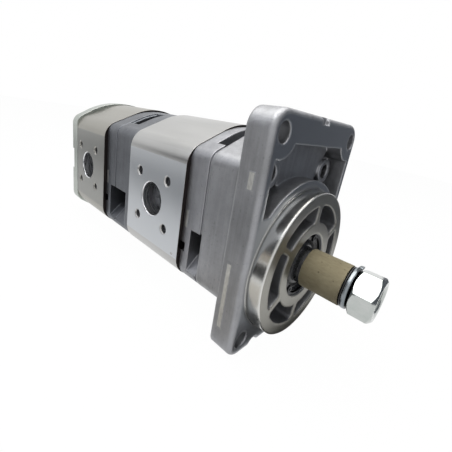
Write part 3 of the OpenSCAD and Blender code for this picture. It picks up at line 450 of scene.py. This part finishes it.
# %% Blackened steel
def blackened_steel():
    """A cloud sets the tone, edges are rubbed paler, and two finer noises are the roughness and
    the height of the oxide's grain."""
    f = Finish("blackened_steel", metallic=0.9)
    rounded, edge = f.soft_edge(0.3)
    cloud, oil, grain = (
        f.add("TexNoise", {"Vector": f.place, "Scale": per_lump(mm), "Detail": detail,
                           "Roughness": uneven})
        for mm, detail, uneven in ((2.5, 4, 0.6), (0.6, 2, 0.5), (0.5, 3, 0.6)))
    colour = linear("#242527")
    for share, tint in ((f.add("MapRange", (cloud, 0.35, 0.65)), "#393a3d"),
                        (f.add("Math", (edge, 0.35), operation="MULTIPLY"), "#6b6c70")):
        colour = f.add("Mix", {0: share, 6: colour, 7: linear(tint)}, **RGBA)
    bump = f.add("Bump", {"Height": grain, "Distance": 0.015 * MM, "Normal": rounded})
    return f.set(Base_Color=colour, Roughness=f.add("MapRange", (oil, 0.3, 0.7, 0.3, 0.48)),
                 Normal=bump)


black_steel = blackened_steel()
print("dark steel:", black_steel.name)

# %% [markdown]
# ### Rubber, bronze and cardboard
# Seals are black nitrile rubber with a slight bloom. Cage and bushes are bronze, turned like the
# ground steel. The sleeve is a spiral of grey-brown card: matt, fibrous and mottled, with a few
# dark specks from the pulp.

# %% Rubber, bronze and cardboard
def nitrile():
    """The bloom, a soft noise, sets tone and roughness together; a fine noise is the height."""
    f = Finish("black_nitrile_rubber", metallic=0.0, IOR=1.45)
    bloom, grain = (
        f.add("TexNoise", {"Vector": f.place, "Scale": per_lump(mm), "Detail": detail,
                           "Roughness": uneven})
        for mm, detail, uneven in ((1.8, 4, 0.6), (0.3, 2, 0.5)))
    bloom = f.add("MapRange", (bloom, 0.4, 0.7))
    colour = f.add("Mix", {0: bloom, 6: linear("#0c0c0d"), 7: linear("#18181a")}, **RGBA)
    return f.set(Base_Color=colour, Roughness=f.add("MapRange", (bloom, 0, 1, 0.24, 0.42)),
                 Normal=f.add("Bump", {"Height": grain, "Distance": 0.01 * MM}))


def card():
    """0.55 of fibres, drawn out along X, and 0.45 of mottle set the tone; specks are dark."""
    f = Finish("grey_brown_cardboard", metallic=0.0, Roughness=0.85, IOR=1.45,
               Sheen_Weight=0.15, Sheen_Roughness=0.5)
    drawn = f.add("Mapping", {"Vector": f.place, "Scale": (1 / 3, 1, 1)})
    fibre, mottle, speck = (
        f.add("TexNoise", {"Vector": at, "Scale": per_lump(mm), "Detail": detail,
                           "Roughness": uneven, "Distortion": twist})
        for at, mm, detail, uneven, twist in (
            (drawn, 0.55, 5, 0.7, 0.6), (f.place, 4.5, 3, 0.5, 0), (f.place, 0.9, 1, 0.4, 0)))
    tone = f.add("Mix", {0: 0.45, 2: f.add("MapRange", (fibre, 0.3, 0.7)),
                         3: f.add("MapRange", (mottle, 0.35, 0.65))})
    colour = linear("#8f856a")
    for share, tint in ((tone, "#b0a587"),
                        (f.add("MapRange", (speck, 0.73, 0.77, 0.0, 0.6)), "#3f3828")):
        colour = f.add("Mix", {0: share, 6: colour, 7: linear(tint)}, **RGBA)
    return f.set(Base_Color=colour, Normal=f.add("Bump", {"Height": fibre, "Distance": 0.05 * MM}))


rubber = nitrile()
bearing_bronze = ringed_metal("machined_bronze", 0.3, 20, "#a9824b", "#c79d62", 0.24, 0.38)
cardboard = card()
print("soft and warm finishes:", [m.name for m in (rubber, bearing_bronze, cardboard)])

# %% Dress the CAD nodes
finish_of_slot = {
    "cast_aluminium": cast_plain, "extruded_aluminium": extruded_body, "ground_steel": ground,
    "black_steel": black_steel, "zinc_plated_steel": zinc, "black_rubber": rubber,
    "bronze": bearing_bronze, "cardboard": cardboard,
}
finish_of_node = {
    "flange_cover": cast_flange, "stage_1_end_casting": cast_rear,
    "stage_2_front_casting": cast_rear, "stage_2_housing": extruded_rear,
    "rear_cover": extruded_cover,
}
for part in frame["record"]["subparts"]:
    finish = finish_of_node.get(part["node"], finish_of_slot[part["material_slot"]])
    dress(frame["nodes"][part["node"]], finish)

# %% [markdown]
# ## Shaft nut
#
# A nut could be a hexagon with a bevel, but a real one is turned: a cone cuts the six corners and
# leaves an arc on every flat. A polar grid gives that arc for nothing, because the radius is just
# the smaller of the hexagon's and the cone's. The cone behind is deeper, and the washer's face
# under it has painted shade, so a dark crescent shows between nut and washer. The same grid goes on
# into the threaded bore.

# %% Hexagons and threads
def hexagon_radius(theta, across_flats, turn, corner_mm):
    """Distance from the axis to a hexagon's side, half the flats over the cosine of the angle
    from that side's middle. In the last corner_mm it grows at a third of that rate."""
    within = np.mod(theta - turn, pi / 3) - pi / 6
    side = across_flats / 2 / np.cos(within)
    limit = across_flats / 2 / cos(pi / 6) - corner_mm
    return np.minimum(side, limit + 0.35 * (side - limit))


def thread_depth(x, theta, pitch):
    """Height of a thread from 0 to 1: a triangle wave of the distance along the helix, cut flat
    at crest and root."""
    phase = np.mod(x / pitch - theta / (2 * pi), 1)
    return np.clip(1.15 - 2.3 * np.abs(phase - 0.5), 0, 1)


print("corner of a 21 mm hexagon:", round(hexagon_radius(0, 21.0, 0.0, 0.25), 2), "mm out")

# %% Shaft nut
NUT_AF, NUT_BORE = 21.0, 7.02
NUT_TURN = radians(104.5)
FRONT_CONE, BACK_CONE = 0.93, 0.86   # where the cones start, as shares of the flats' half
CONE_ANGLE = radians(38)
nut_low, nut_high = (v.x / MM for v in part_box("shaft_nut"))


def nut_grid(cols=288, pitch=1.5):
    """Rows run up the outside, over the front face, down the threaded bore and back underneath.
    The cone's radius grows from each end by the distance from it over the cone's tangent."""
    theta = angles(cols)[None, :] + NUT_TURN
    height = nut_high - nut_low
    rise = np.concatenate([np.linspace(0, 2.2, 14), np.linspace(2.6, height - 2.6, 6),
                           np.linspace(height - 2.2, height, 14)])
    from_end = np.minimum(rise, height - rise)[:, None]
    end_r = NUT_AF / 2 * np.where(rise < height / 2, BACK_CONE, FRONT_CONE)[:, None]
    cone = end_r + from_end / tan(CONE_ANGLE)
    outer = np.minimum(hexagon_radius(theta, NUT_AF, NUT_TURN, 0.25), cone)
    depth = np.linspace(0.9, 3.4, 26)
    fade = np.clip((3.0 - depth[:, None]) / 0.3, 0, 1)
    crest = NUT_BORE - 0.75 * thread_depth(nut_high - depth[:, None], theta, pitch) * fade
    lip = np.array([[0.02, NUT_AF / 2 * FRONT_CONE * 0.995], [0.0, 8.4], [0.02, 8.15]])
    xs = np.concatenate([nut_low + rise, nut_high - lip[:, 0], nut_high - depth, [nut_low]])
    rs = np.concatenate([outer, np.repeat(lip[:, 1:], cols, axis=1), crest,
                         np.full((1, cols), NUT_BORE)])
    return turned(xs[:, None], rs, theta)


nut = grid_mesh("shaft_nut_turned", nut_grid(), wrap_rows=True)
face_outwards(nut)
sharpen(nut, 28)
dress(nut, zinc)
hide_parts("shaft_nut")
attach(nut, "drive_line")
print("nut:", len(nut.data.vertices), "points")

# %% [markdown]
# ## Tab washer
#
# The washer is blanked from sheet, so its front edge is rolled over and its back edge less so. The
# tab is one strip bent forward: a profile of the sheet's thickness carried along a path that turns
# through a quarter circle.

# %% Tab washer
washer_profile = [(WASHER_BACK, 7.1), (WASHER_BACK, 10.1), (WASHER_BACK + 0.12, 10.42),
                  (WASHER_BACK + 0.35, 10.5), (WASHER_FRONT - 0.55, 10.5),
                  (WASHER_FRONT - 0.2, 10.38), (WASHER_FRONT - 0.03, 10.1), (WASHER_FRONT, 9.7),
                  (WASHER_FRONT, 7.25), (WASHER_FRONT - 0.15, 7.04), (WASHER_BACK + 0.1, 7.04)]
washer = ring_piece("tab_washer_ring", washer_profile, 144)
tab_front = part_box("tab_washer")[1].x / MM


def tab_grid(width=3.4, thick=0.9, root=9.0, top=12.35, bend=0.9, cols=24):
    """A strip that leaves the washer outwards and bends to +X: rows follow the path, columns go
    round a rounded rectangle, whose sides are the square roots of a cosine and a sine. The path
    is a straight, a quarter circle and a short straight."""
    middle_x = WASHER_FRONT - 0.15 - thick / 2
    turn = np.linspace(0, pi / 2, 10)
    arc_r = top - thick / 2 - bend
    path_x = np.concatenate([[middle_x] * 2, middle_x + bend * (1 - np.cos(turn)),
                             [tab_front - 0.02]])
    path_r = np.concatenate([[root, (root + arc_r) / 2], arc_r + bend * np.sin(turn),
                             [top - thick / 2]])
    tangent = np.gradient(np.stack([path_x, path_r], axis=1), axis=0)
    tangent /= np.linalg.norm(tangent, axis=1)[:, None]
    c, s = np.cos(angles(cols)), np.sin(angles(cols))
    side = np.sign(c) * np.sqrt(np.abs(c)) * width / 2
    face = np.sign(s) * np.sqrt(np.abs(s)) * thick / 2
    x = path_x[:, None] + tangent[:, 1:] * face
    z = path_r[:, None] - tangent[:, :1] * face
    return np.stack([x, np.broadcast_to(side, x.shape), z], axis=-1)


tab_points = tab_grid()
tab = add_mesh("tab_washer_tab", tab_points, capped_faces(tab_points))
for piece in (washer, tab):
    face_outwards(piece)
    sharpen(piece, 40)
    dress(piece, dull_zinc)
    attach(piece, "drive_line")
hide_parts("tab_washer")
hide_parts("tab_washer")
print("washer from", round(WASHER_BACK, 2), "to", round(WASHER_FRONT, 2), "mm")

# %% [markdown]
# ## Thin ring
#
# The dark ring behind the washer is soft, so its rim is round.

# %% Thin ring
ring_low, ring_high = (v.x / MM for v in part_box("thin_ring"))
ring_mid, ring_half = (ring_low + ring_high) / 2, (ring_high - ring_low) / 2 - 0.01
bulge = np.linspace(-pi / 2, pi / 2, 9)
rim = np.stack([ring_mid + ring_half * np.sin(bulge), 9.65 + 0.55 * np.cos(bulge)], axis=1)
bore = [(ring_mid + ring_half, 7.2), (ring_mid, 7.03), (ring_mid - ring_half, 7.2)]
thin_ring = ring_piece("thin_ring_soft", np.concatenate([rim, bore]), 128, edge=50)
dress(thin_ring, rubber)
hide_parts("thin_ring")
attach(thin_ring, "drive_line")
print("thin ring:", round(ring_high - ring_low, 2), "mm thick")

# %% [markdown]
# ## Cardboard sleeve
#
# Card tube is wound from a strip, so a fine seam runs round it as a helix, and the knife leaves its
# ends slightly uneven. Both are small shifts of a plain tube's grid: the seam lowers the radius
# near the helix, and a slow wave moves the end rows.

# %% Cardboard sleeve
SEAM_PITCH = 26.0
sleeve_low, sleeve_high = (v.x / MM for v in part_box("taper_sleeve"))


def sleeve_grid(cols=240, rows=70, r_out=10.48, r_in=9.62):
    """Outside rows from the back end to the front end, then inside rows back again. The seam is a
    bell-shaped dip of 0.12 mm where the distance from the helix is nearest to nought. Both ends
    are rounded by 0.16 mm, and three sines move them."""
    theta = angles(cols)[None, :]
    s = np.linspace(0, 1, rows)[:, None]
    wobble = 0.07 * np.sin(3 * theta + 0.6) + 0.05 * np.sin(11 * theta) + 0.03 * np.sin(29 * theta)
    low, high = sleeve_low + 0.12 + wobble, sleeve_high - 0.16 + wobble
    x = low + (high - low) * s
    helix = np.mod(x / SEAM_PITCH - theta / (2 * pi), 1)
    away = np.minimum(helix, 1 - helix) * SEAM_PITCH
    seam = 0.12 * np.exp(-(away / 0.28) ** 2)
    fuzz = 0.02 * np.sin(17 * theta + 3 * x) * np.sin(5 * theta - 2 * x)
    end = np.minimum(s, 1 - s) * (sleeve_high - sleeve_low)
    rounding = 0.16 * np.exp(-(end / 0.16) ** 2)
    outside = turned(x, r_out - seam - rounding + fuzz, theta)
    inside = turned(x[::-5], r_in + rounding[::-5], theta)
    return np.concatenate([outside, inside])


sleeve = grid_mesh("taper_sleeve_wound", sleeve_grid(), wrap_rows=True)
face_outwards(sleeve)
sharpen(sleeve, 60)
dress(sleeve, cardboard)
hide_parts("taper_sleeve")
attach(sleeve, "drive_line")
print("sleeve:", round(sleeve_high - sleeve_low, 1), "mm long")

# %% [markdown]
# ## Shaft seal
#
# A lip seal shows a dished rubber face, a dust lip that leans out to the shaft and a rim that grips
# the bore. It is one closed profile turned about the shaft, a little clear of the journal.

# %% Shaft seal
seal_back, seal_front = (v.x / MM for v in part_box("shaft_seal"))
seal_profile = [
    (seal_back + 0.05, 17.0), (seal_back + 0.5, 17.44), (seal_back + 2.0, 17.46),
    (seal_back + 2.4, 17.3), (seal_back + 2.8, 17.46), (seal_front - 1.0, 17.46),
    (seal_front - 0.5, 17.25), (seal_front - 0.08, 16.7), (seal_front - 0.02, 16.0),
    (seal_front - 0.25, 15.5), (seal_front - 1.0, 15.2), (seal_front - 1.35, 14.6),
    (seal_front - 1.4, 13.4), (seal_front - 1.15, 12.6), (seal_front - 0.55, 12.0),
    (seal_front - 0.25, 11.2), (seal_front - 0.12, 10.35), (seal_front - 0.3, 10.05),
    (seal_front - 0.7, 10.2), (seal_front - 1.3, 10.9), (seal_front - 2.6, 11.3),
    (seal_front - 3.6, 10.5), (seal_front - 4.0, 10.05), (seal_front - 4.5, 10.35),
    (seal_front - 5.6, 11.5), (seal_front - 6.2, 12.6), (seal_front - 5.4, 13.2),
    (seal_front - 3.6, 13.0), (seal_front - 2.9, 13.6), (seal_front - 2.9, 14.8),
    (seal_front - 6.6, 15.2), (seal_back + 0.05, 15.8)]
lip_seal = ring_piece("shaft_seal_lips", seal_profile, 160, edge=55)
dress(lip_seal, rubber)
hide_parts("shaft_seal")
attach(lip_seal, "pump_body")
print("seal:", round(min(r for _, r in seal_profile), 2), "mm from the axis at its lips")

# %% [markdown]
# ## Through bolts and their washers
#
# Four socket screws come in from the rear. Each is one polar grid from the middle of its socket to
# the tip: the socket is a hexagon, the head's side is a zigzag of knurl teeth, and the end of the
# shank has a thread that shows in the bosses of the flange recess.

# %% Through bolts
HEAD_R, SHANK_R, SOCKET_AF = 8.0, 5.0, 8.0
THREAD_STARTS = -36.0
bolt_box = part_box("through_bolts")
head_back, bolt_tip = bolt_box[0].x / MM, bolt_box[1].x / MM
TIE_Y = bolt_box[1].y / MM - HEAD_R
TIE_CENTRES = [(y, z) for y in (-TIE_Y, TIE_Y)
               for z in (bolt_box[0].z / MM + HEAD_R, bolt_box[1].z / MM - HEAD_R)]
under_head, washer_end = (v.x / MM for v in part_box("through_bolt_washers"))


def bolt_grid(cols=144, pitch=1.5, knurl_mm=0.22):
    """Rows go from the socket's floor out over the head, along the shank and over the thread to
    the tip. Socket rows take a hexagon's radius, and in knurl rows every other column is lower."""
    theta = angles(cols)[None, :]
    socket = hexagon_radius(theta, SOCKET_AF, 0.0, 0.05)
    knurl = np.where(np.arange(cols) % 2 == 0, 0.0, knurl_mm)[None, :]
    knurl_x = np.linspace(head_back + 1.1, under_head - 0.9, 8)
    flank = np.clip(np.minimum(knurl_x - knurl_x[0], knurl_x[-1] - knurl_x) / 0.6, 0, 1)
    thread_x = np.linspace(THREAD_STARTS, bolt_tip - 1.2, 98)
    thread_r = SHANK_R - 0.05 - 0.8 * (1 - thread_depth(thread_x[:, None], theta, pitch))
    x = np.concatenate([[head_back + 5.6, head_back + 5.0, head_back + 0.5, head_back + 0.02,
                         head_back, head_back, head_back + 0.35], knurl_x,
                        [under_head - 0.4, under_head, under_head, under_head + 0.4,
                         THREAD_STARTS - 0.5], thread_x, [bolt_tip - 0.3, bolt_tip]])
    plain = np.ones((1, cols))
    r = np.concatenate([0.4 * plain, socket, socket, socket + 0.35, 5.3 * plain, 6.7 * plain,
                        7.4 * plain, HEAD_R - 0.08 - knurl * flank[:, None],
                        (HEAD_R - 0.25) * plain, (HEAD_R - 0.6) * plain, 5.6 * plain,
                        SHANK_R * plain, SHANK_R * plain, thread_r, 3.9 * plain, 3.3 * plain])
    return turned(x[:, None], r, theta)


bolt_points = bolt_grid()
bolt_size = bolt_points.shape[0] * bolt_points.shape[1]
bolts = add_mesh("through_bolts_knurled",
                 np.stack([bolt_points + [0, y, z] for y, z in TIE_CENTRES]),
                 sum([capped_faces(bolt_points, k * bolt_size)
                      for k in range(len(TIE_CENTRES))], []))
face_outwards(bolts)
sharpen(bolts, 30)
dress(bolts, black_steel)
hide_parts("through_bolts")
print("bolts:", len(bolts.data.polygons), "faces")

# %% Bolt washers
flat_washers = ring_piece(
    "through_bolt_washers_blanked",
    [(under_head, 5.4), (under_head, 8.6), (under_head + 0.25, 8.95), (under_head + 0.5, 9.0),
     (washer_end - 0.1, 9.0), (washer_end, 8.9), (washer_end, 5.4), (washer_end - 0.1, 5.26),
     (under_head + 0.2, 5.26)], 96, TIE_CENTRES)
dress(flat_washers, zinc)
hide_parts("through_bolt_washers")
for piece, slot_name in ((bolts, "black_steel"), (flat_washers, "zinc_plated_steel")):
    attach(piece, "pump_body")
print("bolt washers:", len(flat_washers.data.polygons), "faces")

# %% [markdown]
# ## Threads of the port screws
#
# The sixteen tapped holes are plain in the CAD. A thread is a triangle carried along a helix, so
# each hole gets one ribbon that winds down its wall: a row of three points, root, crest and root,
# is carried along the helix. The threads are painted darker than the face: painted shade inside the
# holes.

# %% Threads of the port screws
PORTS = [(x, side, circle) for side, circle in ((-1, 20.0), (1, 17.5)) for x in PORT_X]


def thread_ribbon(turns=10, per_turn=28, pitch=1.0, wall=2.52, crest=2.16, first=1.5):
    """Rows follow the helix, columns are the root, the crest and the next root. The depth is
    counted from the mouth; the crest fades in and out over one turn."""
    s = np.linspace(0, turns, turns * per_turn + 1)[:, None]
    fade = np.clip(np.minimum(s, turns - s), 0, 1)
    depth = first + s * pitch + np.array([[-0.42, 0.0, 0.42]]) * pitch
    r = wall - (wall - crest) * fade * np.array([[0, 1, 0]])
    return depth, r, 2 * pi * s


def port_threads():
    """One ribbon at each of the four corners of every port, turned to the side it opens to."""
    depth, r, theta = thread_ribbon()
    rows, cols = depth.shape
    points, faces = [], []
    for x0, side, circle in PORTS:
        for k in range(4):
            a = radians(45 + 90 * k)
            faces += grid_faces(rows, cols, wrap_cols=False, start=len(points) * rows * cols)
            points.append(np.stack([x0 + circle * cos(a) + r * np.cos(theta),
                                    side * (FACE_Y - depth),
                                    PORT_Z + circle * sin(a) - side * r * np.sin(theta)], -1))
    return add_mesh("port_screw_threads", np.stack(points), faces)


def shaded_thread():
    """A soft noise sets tone and roughness together; the dark tones are painted shade inside the
    holes.
    """
    f = Finish("tapped_aluminium_painted_shade")
    shade_noise = f.add("TexNoise", {"Vector": f.place, "Scale": per_lump(0.8), "Detail": 3,
                              "Roughness": 0.6})
    shade_noise = f.add("MapRange", (shade_noise, 0.35, 0.65))
    colour = f.add("Mix", {0: shade_noise, 6: linear("#2f2f33"), 7: linear("#5c5c60")}, **RGBA)
    return f.set(Base_Color=colour, Roughness=f.add("MapRange", (shade_noise, 0, 1, 0.32, 0.5)))


threads = port_threads()
sharpen(threads, 30)
dress(threads, shaded_thread())
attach(threads, "pump_body")
print("threads:", len(threads.data.polygons), "faces in", 4 * len(PORTS), "holes")

# %% [markdown]
# ## Gate marks
#
# Where the die was fed, the runner is broken off and filed: a small bright torn patch stands a
# little out of the casting's side. Each is a height field with a ragged outline, so the light
# catches it as it does the real one.

# %% Gate marks
def torn_metal():
    """One noise, drawn out along Z as the file went, sets tone, roughness and height."""
    f = Finish("filed_gate_aluminium")
    drawn = f.add("Mapping", {"Vector": f.place, "Scale": (1, 1, 1 / 3)})
    tear = f.add("TexNoise", {"Vector": drawn, "Scale": per_lump(0.7), "Detail": 4,
                              "Roughness": 0.7})
    colour = f.add("Mix", {0: f.add("MapRange", (tear, 0.3, 0.7)), 6: linear("#a3a3a0"),
                           7: linear("#cfcfcb")}, **RGBA)
    return f.set(Base_Color=colour, Roughness=f.add("MapRange", (tear, 0.3, 0.7, 0.3, 0.5)),
                 Normal=f.add("Bump", {"Height": tear, "Distance": 0.05 * MM}))


def gate_patch(x0, x1, z0, z1, y, seed):
    """A patch on the -Y side: u runs along X and v along Z. Its height is a plateau whose edge
    falls to the casting within an eighth of its width and a twenty-sixth of its length, plus four
    sine waves with seeded phases. Two more waves make the long sides ragged."""
    rng = np.random.default_rng(seed)
    u, v = np.meshgrid(np.linspace(0, 1, 30), np.linspace(0, 1, 90), indexing="ij")
    wave = sum(0.2 * np.sin(2 * pi * (fu * u + fv * v) + p) for fu, fv, p in
               zip((3, 7, 11, 5), (9, 17, 29, 41), rng.uniform(0, 6.28, 4)))
    plateau = np.clip(np.minimum(np.minimum(u, 1 - u) * 8, np.minimum(v, 1 - v) * 26), 0, 1)
    height = plateau * (0.04 + 0.012 * wave)
    ragged = 0.16 * np.sin(2 * pi * v * 9 + rng.uniform(0, 6)) + 0.1 * np.sin(2 * pi * v * 23)
    x = x0 + (x1 - x0) * u + ragged * (u - 0.5)
    z = z0 + (z1 - z0) * v
    return np.stack([x, y - height, z], axis=-1)


filed = torn_metal()
GATES = [(-7.8, -4.7, 41.0, 48.7, "flange_cover"), (-10.7, -8.0, -30.0, 6.0, "flange_cover"),
         (-46.4, -43.8, 9.3, 19.3, "stage_1_front_casting"),
         (-139.4, -136.8, 9.3, 19.3, "stage_2_front_casting")]
for k, (x0, x1, z0, z1, node) in enumerate(GATES):
    side_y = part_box(node)[0].y / MM
    patch = gate_patch(x0 + 0.1, x1 - 0.1, z0 + 0.1, z1 - 0.1, side_y + 0.02, k + 3)
    gate = grid_mesh(f"gate_mark_{k + 1}", patch, wrap_cols=False)
    gate.data.flip_normals()
    dress(gate, filed)
    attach(gate, "pump_body")
print("gate marks:", len(GATES))

# %% [markdown]
# ## Studio
#
# The floor is plain and pale and passes under the flange's foot and the rear cover, on which such a
# pump lies. To the camera and to mirrors it is nearly white, with a trace of the real shadow, and
# the world behind it is white. To all other light both are duller, so that the metal keeps its
# shades.

# %% Floor
FOOT = (-8.0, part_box("flange_cover")[0].z / MM)
TAIL = (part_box("rear_cover")[0].x / MM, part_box("rear_cover")[0].z / MM)
slope = (FOOT[1] - TAIL[1]) / (FOOT[0] - TAIL[0])


def floor_grid(half=1500.0, count=9):
    """A square net whose height is a straight line in x through the foot and the tail."""
    x, y = np.meshgrid(np.linspace(-half, half, count), np.linspace(-half, half, count),
                       indexing="ij")
    return np.stack([x, y, FOOT[1] + slope * (x - FOOT[0]) - 0.3], axis=-1)


def seen_directly(tree):
    """One for rays from the camera, through glass or off a mirror, else nought."""
    ray = add(tree, "LightPath").node.outputs
    direct = add(tree, "Math", (ray["Is Camera Ray"], ray["Is Transmission Ray"]),
                 operation="MAXIMUM")
    return add(tree, "Math", (direct, ray["Is Glossy Ray"]), operation="MAXIMUM")


def floor_material():
    """Matt grey to light, and 0.95 of a white glow over it where it is seen directly."""
    mat = bpy.data.materials.new("pale_floor")
    mat.use_nodes = True
    tree = mat.node_tree
    tree.nodes.clear()
    share = add(tree, "Math", (seen_directly(tree), 0.95), operation="MULTIPLY")
    matt = add(tree, "BsdfDiffuse", {"Color": linear("#b4b4b4")})
    glow = add(tree, "Emission", {"Color": linear("#ffffff"), "Strength": 1.035})
    add(tree, "OutputMaterial", (add(tree, "MixShader", (share, matt, glow)),))
    return mat


floor = grid_mesh("floor", floor_grid(), wrap_cols=False, smooth=False)
floor.data.flip_normals()
dress(floor, floor_material())
print("floor leans by", round(slope, 4), "along X")

# %% Background
world = bpy.data.worlds.new("studio")
scene.world = world
world.use_nodes = True
sky = world.node_tree
sky.nodes.clear()
room = add(sky, "Background", {"Color": linear("#e9ecf0"), "Strength": 0.14})
white = add(sky, "Background", {"Color": linear("#ffffff"), "Strength": 1.0})
add(sky, "OutputWorld", (add(sky, "MixShader", (seen_directly(sky), room, white)),))
print("world nodes:", len(sky.nodes))

# %% [markdown]
# ## Lamps and cards
#
# One wide lamp hangs above, one fills from the side of the ports and a small one lights the nut.
#
# Metal shows what it mirrors, and a white room would make all of it white. So cards stand round the
# pump, seen by nothing but mirror rays. The one to the right gives the flange's front its grey, the
# one before the foot darkens the lower rim, a low strip runs beside the ports, and the rest lay the
# dark, warm and pale bands on the pilot's polished wall. Where each belongs follows from one rule:
# the ray from the eye is turned about the surface's normal, and the card goes where it lands.

# %% Lamps
def softbox(name, at, aim, size, watts, colour="#ffffff"):
    """A square area lamp at a point, turned to face another: its back runs from aim to at, its
    side is level, and its top is the cross product of the two."""
    data = bpy.data.lights.new(name, "AREA")
    data.shape = "RECTANGLE"
    data.size, data.size_y = size
    data.energy = watts
    data.color = linear(colour)[:3]
    lamp = bpy.data.objects.new(name, data)
    scene.collection.objects.link(lamp)
    at, aim = np.array(at), np.array(aim)
    back = (at - aim) / np.linalg.norm(at - aim)
    side = np.cross([0, 0, 1.0], back)
    side /= np.linalg.norm(side)
    up = np.cross(back, side)
    lamp.matrix_world = Matrix([[side[k], up[k], back[k], at[k]] for k in range(3)]
                               + [[0, 0, 0, 1]])


softbox("lamp_above", (-0.15, 0.05, 0.75), (-0.09, 0, 0), (0.9, 0.6), 4.8, "#fffdf8")
softbox("lamp_ports", (-0.3, -0.55, 0.42), (-0.09, 0, 0), (0.35, 0.35), 0.8, "#f0f5ff")
softbox("lamp_nut", (0.0, -0.128, 0.278), (0.04, -0.007, 0.008), (0.16, 0.16), 0.2)
print("lamps:", [lamp.name for lamp in bpy.data.lights])

# %% Cards
def card_grid(corner, along, up, count=5):
    """A flat net spanned by two edges from a corner."""
    s, t = np.meshgrid(np.linspace(0, 1, count), np.linspace(0, 1, count), indexing="ij")
    return np.array(corner) + s[..., None] * np.array(along) + t[..., None] * np.array(up)


# Each card: a corner, the two edges that leave it, and its colour.
CARDS = {"card_right": ((20.0, 200.0, -40.0), (260.0, -260.0, 0.0), (0.0, 0.0, 330.0), "#8e939c"),
         "card_ports": ((-700.0, -150.0, -48.0), (700.0, 0.0, 0.0), (0.0, 0.0, 52.0), "#8f969f"),
         "card_high": ((-600.0, -400.0, 40.0), (360.0, 0.0, 0.0), (0.0, 0.0, 160.0), "#2a2c33"),
         "card_warm": ((-240.0, -398.0, 40.0), (140.0, 0.0, 0.0), (0.0, 0.0, 85.0), "#e6dac8"),
         "card_pilot": ((-330.0, -399.0, 125.0), (270.0, 0.0, 0.0), (0.0, 0.0, 285.0), "#24252b"),
         "card_near": ((-85.0, -149.0, -38.0), (60.0, 0.0, 0.0), (0.0, 0.0, 50.0), "#101114"),
         "card_side": ((-60.0, -112.0, -39.4), (52.0, 0.0, -3.9), (0.0, 62.0, 0.0), "#e4e0da"),
         # card_foot stands for the shadowed floor just before the flange's foot: a painted shadow
         # that only mirror rays see.
         "card_foot": ((2.0, -40.0, -44.0), (17.0, 0.0, 0.0), (0.0, 220.0, 0.0), "#505050")}
for name, (corner, along, up, tint) in CARDS.items():
    dark_card = grid_mesh(name, card_grid(corner, along, up), wrap_cols=False, smooth=False)
    velvet = Finish("velvet_" + name, metallic=0.0, Roughness=1.0, Base_Color=linear(tint))
    dress(dark_card, velvet.material)
    dark_card.visible_camera = False
    dark_card.visible_shadow = False
    dark_card.visible_diffuse = False
print("cards:", len(CARDS))

# %% [markdown]
# ## Camera
#
# The camera was solved from the photograph: the circle of the pilot, the flange's bolt holes and
# the long edges fix where it stood, how it was turned and its wide view. The small shift puts the
# optical axis where the crop of the photograph has it.

# %% Camera
AZ, EL, ROLL = radians(40.99), radians(17.20), radians(9.20)
EYE = np.array([58.6, -131.6, 66.0]) * MM
FOCAL_PX, CENTRE_PX, FRAME_PX = 274.4, (224.27, 207.18), 452
SENSOR = 36.0   # width in mm
ahead = np.array([-sin(AZ) * cos(EL), cos(AZ) * cos(EL), -sin(EL)])
level = np.cross(ahead, [0, 0, 1])
level /= np.linalg.norm(level)
upright = np.cross(level, ahead)
cam_x = level * cos(ROLL) + upright * sin(ROLL)
cam_y = upright * cos(ROLL) - level * sin(ROLL)
camera_data = bpy.data.cameras.new("camera")
camera = bpy.data.objects.new("camera", camera_data)
scene.collection.objects.link(camera)
camera.matrix_world = Matrix([[cam_x[k], cam_y[k], -ahead[k], EYE[k]] for k in range(3)]
                             + [[0, 0, 0, 1]])
camera_data.sensor_width = SENSOR
camera_data.lens = SENSOR * FOCAL_PX / FRAME_PX
camera_data.shift_x = (FRAME_PX / 2 - CENTRE_PX[0]) / FRAME_PX
camera_data.shift_y = (CENTRE_PX[1] - FRAME_PX / 2) / FRAME_PX
camera_data.clip_start = 0.005
scene.camera = camera
scene.view_settings.view_transform = "Standard"
print("lens", round(camera_data.lens, 2), "mm")
